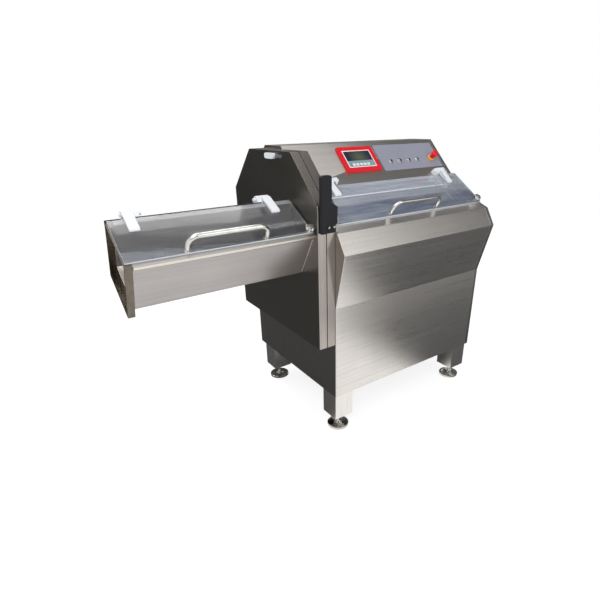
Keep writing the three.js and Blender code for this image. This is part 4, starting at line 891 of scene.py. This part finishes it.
def add_screw(work, place, outward, radius, height):
    head = bmesh.new()
    turned_piece(head, [(radius * wide, height * high) for wide, high in HEAD_SHARES], (0, 0), 24)
    socket = bmesh.ops.create_circle(head, segments=6, radius=radius * SOCKET_SHARE, cap_ends=True)
    bmesh.ops.translate(head, vec=(0, 0, height * SOCKET_FLOOR), verts=socket["verts"])
    turn = Vector(OUT).rotation_difference(Vector(outward)).to_matrix().to_4x4()
    bmesh.ops.transform(head, matrix=Matrix.Translation(place) @ turn, verts=head.verts)
    add_part(work, head)


def screws(name, spots, outward, body, where=UPRIGHT, radius=0.004, height=0.0024):
    work = bmesh.new()
    for spot in spots:
        add_screw(work, spot, outward, radius, height)
    settle(name, work, polished_steel, body, where)


screws("keeper_screws", [(x, KEEPER_FACE, 0.9925) for x in (-0.031, -0.006)], FRONT, "cabinet",
       radius=0.0052, height=0.003)
screws("hinge_leaf_screws", [(-0.0285, LEAF_FACE, z) for z in LEAF_HEIGHTS], BACK, "cabinet")
screws("moving_leaf_screws", [(-0.0538, LEAF_FACE, z) for z in LEAF_HEIGHTS], BACK, "door")
screws("bracket_screws", [(0.0105, 0.0, z) for z in (0.985, 1.012)], FRONT, "cabinet", radius=0.003)
screws("plate_screws", [(x, y, PLATE_FACE) for x in (0.507, 0.893) for y in (0.057, 0.198)], OUT,
       "cabinet", HOOD, 0.0028, 0.0014)
screws("end_cover_screws", [(COVER_FACE, y, z) for y in (0.06, 0.36, 0.66) for z in (0.26, 0.62)] +
       [(COVER_FACE, 0.06, 0.86), (COVER_FACE, 0.66, 1.0)], RIGHT, "cabinet", radius=0.005)
screws("back_screws", [(x, BACK_FACE, z) for x in (0.05, 0.455, 0.86) for z in (0.26, 0.62, 1.0)],
       BACK, "cabinet", radius=0.005)
print("screws set")

# %% [markdown]
# The display sits in a red frame with a thin white line round its window and a strip of small keys
# under the screen. The white line is four flat bars round an opening. The grey cover over the lead of
# the door sensor, and the clear strip across the main lid, are small blocks too, so they are made here.

# %% Display details and other small blocks
WINDOW_LEFT, WINDOW_RIGHT, WINDOW_LOW, WINDOW_HIGH = 0.2990, 0.4520, 0.0830, 0.1701
LINE_WIDTH = 0.0048
LINE_RISE = 0.0007
FRAME_FACE = 0.0093
KEY_COUNT = 5
KEY_FIRST, KEY_STEP, KEY_WIDTH = 0.3200, 0.0215, 0.0175


def blocks(name, corners, soft, material, body, where):
    work = bmesh.new()
    for low, high in corners:
        add_part(work, soft_box(low, high, soft))
    settle(name, work, material, body, where)


line_left, line_right = WINDOW_LEFT - LINE_WIDTH, WINDOW_RIGHT + LINE_WIDTH
line_bars = [(line_left, line_right, WINDOW_LOW - LINE_WIDTH, WINDOW_LOW),
             (line_left, line_right, WINDOW_HIGH, WINDOW_HIGH + LINE_WIDTH),
             (line_left, WINDOW_LEFT, WINDOW_LOW, WINDOW_HIGH),
             (WINDOW_RIGHT, line_right, WINDOW_LOW, WINDOW_HIGH)]
blocks("display_white_line", [((left, low, FRAME_FACE), (right, high, FRAME_FACE + LINE_RISE))
                              for left, right, low, high in line_bars],
       0.0001, white_plastic, "cabinet", HOOD)
key_lefts = [KEY_FIRST + index * KEY_STEP for index in range(KEY_COUNT)]
blocks("display_key_caps", [((x, 0.0885, 0.0073), (x + KEY_WIDTH, 0.1025, 0.0088))
                            for x in key_lefts],
       0.0007, key_cap, "cabinet", HOOD)
blocks("display_key_field", [((0.3120, 0.0860, 0.0072), (0.4280, 0.1050, 0.0077))],
       0.0004, gap_film, "cabinet", HOOD)
blocks("sensor_lead_cover", [((-0.0868, 0.2462, 1.2318), (-0.0818, 0.2968, 1.2442))],
       0.0012, lead_grey, "door", UPRIGHT)
blocks("main_lid_strip", [((0.064, 0.1432, 0), (0.780, 0.1482, 0.0014))],
       0.0005, acrylic_edge, "cover", LID)
print("keys:", KEY_COUNT)

# %% [markdown]
# Each push button is a black dome inside a chrome ring. The emergency stop is a red mushroom with a
# thick neck, on a low yellow collar with an angled edge. All of them are turned shapes.

# %% Buttons
BUTTON_FIRST, BUTTON_STEP, BUTTON_PLACE = 0.563, 0.0605, 0.103
BUTTON_COUNT = 4
STOP = (0.845, 0.104)
RING_PROFILE = [(0.0086, 0.0026), (0.0086, 0.0056), (0.0096, 0.0062), (0.0114, 0.0056),
                (0.0128, 0.0026), (0.0086, 0.0026)]
DOME_PROFILE = [(0, 0.0096), (0.003, 0.0095), (0.0055, 0.0091), (0.0068, 0.0084), (0.0068, 0.0080),
                (0, 0.0080)]
MUSHROOM_PROFILE = [(0, -0.016), (0.012, -0.016), (0.012, 0.0300), (0.0135, 0.0326), (0.0175, 0.0330),
                    (0.0188, 0.0345), (0.019, 0.0368), (0.0186, 0.0394), (0.0168, 0.0426),
                    (0.0130, 0.0448), (0.0075, 0.0461), (0, 0.0466)]
COLLAR_PROFILE = [(0.0123, 0.0026), (0.0186, 0.0026), (0.019, 0.0032), (0.0189, 0.0068),
                  (0.0162, 0.0108), (0.0150, 0.0116), (0.0123, 0.0116), (0.0123, 0.0026)]


def turned_on_hood(name, profile, centre, sides, material, body, smooth=35):
    work = bmesh.new()
    turned_piece(work, profile, centre, sides)
    return settle(name, work, material, body, HOOD, smooth)


for index in range(BUTTON_COUNT):
    centre = (BUTTON_FIRST + index * BUTTON_STEP, BUTTON_PLACE)
    number = index + 1
    turned_on_hood(f"button_ring_{number}", RING_PROFILE, centre, 48, polished_steel, "cabinet")
    turned_on_hood(f"button_dome_{number}", DOME_PROFILE, centre, 40, black_plastic,
                   f"button_{number}")
stop_head = turned_on_hood("stop_mushroom", MUSHROOM_PROFILE, STOP, 64, red_plastic,
                           "emergency_stop", 50)
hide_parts("stop_button")
stop_base = turned_on_hood("stop_ring", COLLAR_PROFILE, STOP, 64, yellow_plastic, "cabinet")
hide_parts("stop_collar")
print("buttons:", BUTTON_COUNT, "and the stop")

# %% [markdown]
# The machine stands on four levelling feet: a round sole, a domed shoulder, a threaded stem and a
# lock nut. Turned with more sides than the solids have, they look round close up too.

# %% Levelling feet
FOOT_LEFT, FOOT_RIGHT, FOOT_FRONT, FOOT_REAR = 0.0528, 0.8617, 0.0528, 0.633
FEET = {"front_left": (FOOT_LEFT, FOOT_FRONT), "front_right": (FOOT_RIGHT, FOOT_FRONT),
        "rear_left": (FOOT_LEFT, FOOT_REAR), "rear_right": (FOOT_RIGHT, FOOT_REAR)}
FOOT_PROFILE = [(0, 0), (0.0505, 0), (0.052, 0.0015), (0.052, 0.0112), (0.0515, 0.0124),
                (0.0503, 0.013), (0.040, 0.0136), (0.024, 0.0158), (0.018, 0.0172), (0.016, 0.019),
                (0.016, 0.0262), (0.0152, 0.027), (0.008, 0.027), (0.008, 0.112), (0, 0.112)]
NUT_RADIUS, NUT_DEPTH, NUT_HEIGHT = 0.015, 0.014, 0.0672

for name, (x, y) in FEET.items():
    work = bmesh.new()
    turned_piece(work, FOOT_PROFILE, (x, y), 64)
    nut = bmesh.new()
    bmesh.ops.create_cone(nut, segments=6, radius1=NUT_RADIUS, radius2=NUT_RADIUS, depth=NUT_DEPTH,
                          cap_ends=True)
    round_edges(nut, nut.edges[:], 0.0008, 2)
    bmesh.ops.translate(nut, vec=(x, y, NUT_HEIGHT), verts=nut.verts)
    add_part(work, nut)
    foot = settle(f"levelling_{name}", work, polished_steel, "cabinet", UPRIGHT)
    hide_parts(f"foot_{name}")
print("feet:", len(FEET))

# %% [markdown]
# The floor is one pale plane. It takes the machine's shadow, but looks nearly white to the camera and
# in mirrored or clear surfaces. Nine dark cards lie and stand round the machine, as in a photo studio.
# They show in mirrored surfaces only, and give the sheets their dark sides. Some fade in along one
# axis, from nothing to full, so that the mirrored edge is soft.

# %% Floor and dark cards
FLOOR_TONE = 0.86
FLOOR_ROUGHNESS = 0.9
FLOOR_SHINE = 0.1
FLOOR_HALF_SIZE = 9
FLOOR_GLOW = 1.3
FLOOR_GLOW_SHARE = 0.62
CARDS = {
    "card_floor_right": ((0.3, -1.6, 0.002), (4.6, -0.34, 0.002), 0.085, ("X", 0.5, 0.82)),
    "card_floor_far_right": ((0.9, -2.4, 0.002), (4.6, -1.6, 0.002), 0.08, ("X", 1.0, 1.35)),
    "card_wall_right": ((3.4, -2.6, 0), (3.4, 1.6, 2.4), 0.14, None),
    "card_high_right": ((3.4, -4.0, 2.4), (3.4, 2.6, 7.6), 0.19, ("Y", -3.8, -2.3)),
    # painted shadow: this card, seen only in mirrored surfaces, stands in for the machine's own shadow on
    # the floor under it
    "card_floor_under": ((-0.09, -0.22, 0.003), (0.9, 0.6, 0.003), 0.14, None),
    "card_floor_back": ((-6.0, -0.25, 0.002), (-0.09, 6.0, 0.002), 0.07, None),
    "card_wall_back": ((-6.0, 4.6, 0), (6.4, 4.6, 3.0), 0.05, None),
    "card_high_back": ((-6.0, 5.6, 3.0), (6.4, 5.6, 7.4), 0.1, None),
    "card_behind": ((-6.0, -5.0, 0.4), (1.3, -5.0, 2.6), 0.1, None),
}
QUARTER = math.radians(90)


def flat_sheet(name, half_size, matrix=Matrix()):
    work = bmesh.new()
    bmesh.ops.create_grid(work, x_segments=1, y_segments=1, size=half_size)
    bmesh.ops.transform(work, matrix=matrix, verts=work.verts)
    mesh = bpy.data.meshes.new(name)
    work.to_mesh(mesh)
    work.free()
    return new_object(name, mesh)


def plain_finish(name, tone, roughness):
    material, tree, shader = bare_material(name)
    shader.inputs["Base Color"].default_value = (tone, tone, tone, 1)
    shader.inputs["Roughness"].default_value = roughness
    return material, tree, shader


def dark_card(name, corner_low, corner_high, tone, fade):
    """A dark sheet between two corners, flat on the floor or upright."""
    low, high = Vector(corner_low), Vector(corner_high)
    size = high - low
    if size.z == 0:
        shape = Matrix.Diagonal((size.x, size.y, 1, 1))
    elif size.y == 0:
        shape = Matrix.Diagonal((size.x, 1, size.z, 1)) @ Matrix.Rotation(QUARTER, 4, "X")
    else:
        shape = Matrix.Diagonal((1, size.y, size.z, 1)) @ Matrix.Rotation(QUARTER, 4, "Y")
    card = flat_sheet(name, 0.5, Matrix.Translation((low + high) / 2) @ shape)
    material, tree, shader = plain_finish(name, tone, 1.0)
    if fade:
        axis, start, end = fade
        edge = ramp(tree, along(tree, object_place(tree), axis), start, end, "SMOOTHSTEP")
        tree.links.new(edge, shader.inputs["Alpha"])
    card.data.materials.append(material)
    card.visible_camera = False
    card.visible_diffuse = False
    card.visible_shadow = False
    card.visible_transmission = False


floor = flat_sheet("floor", FLOOR_HALF_SIZE)
floor_finish, tree, shader = plain_finish("pale_floor", FLOOR_TONE, FLOOR_ROUGHNESS)
shader.inputs["Specular IOR Level"].default_value = FLOOR_SHINE
glow = tree.nodes.new("ShaderNodeEmission")
glow.inputs["Strength"].default_value = FLOOR_GLOW
share = reckon(tree, "MULTIPLY", seen_by(tree, WHITE_FOR), FLOOR_GLOW_SHARE)
floor_mix = shader_mix(tree, share, shader.outputs[0], glow.outputs[0])
tree.links.new(floor_mix, tree.nodes["Material Output"].inputs[0])
floor.data.materials.append(floor_finish)
for name, (low, high, tone, fade) in CARDS.items():
    dark_card(name, low, high, tone, fade)
print("stage set, cards:", len(CARDS))
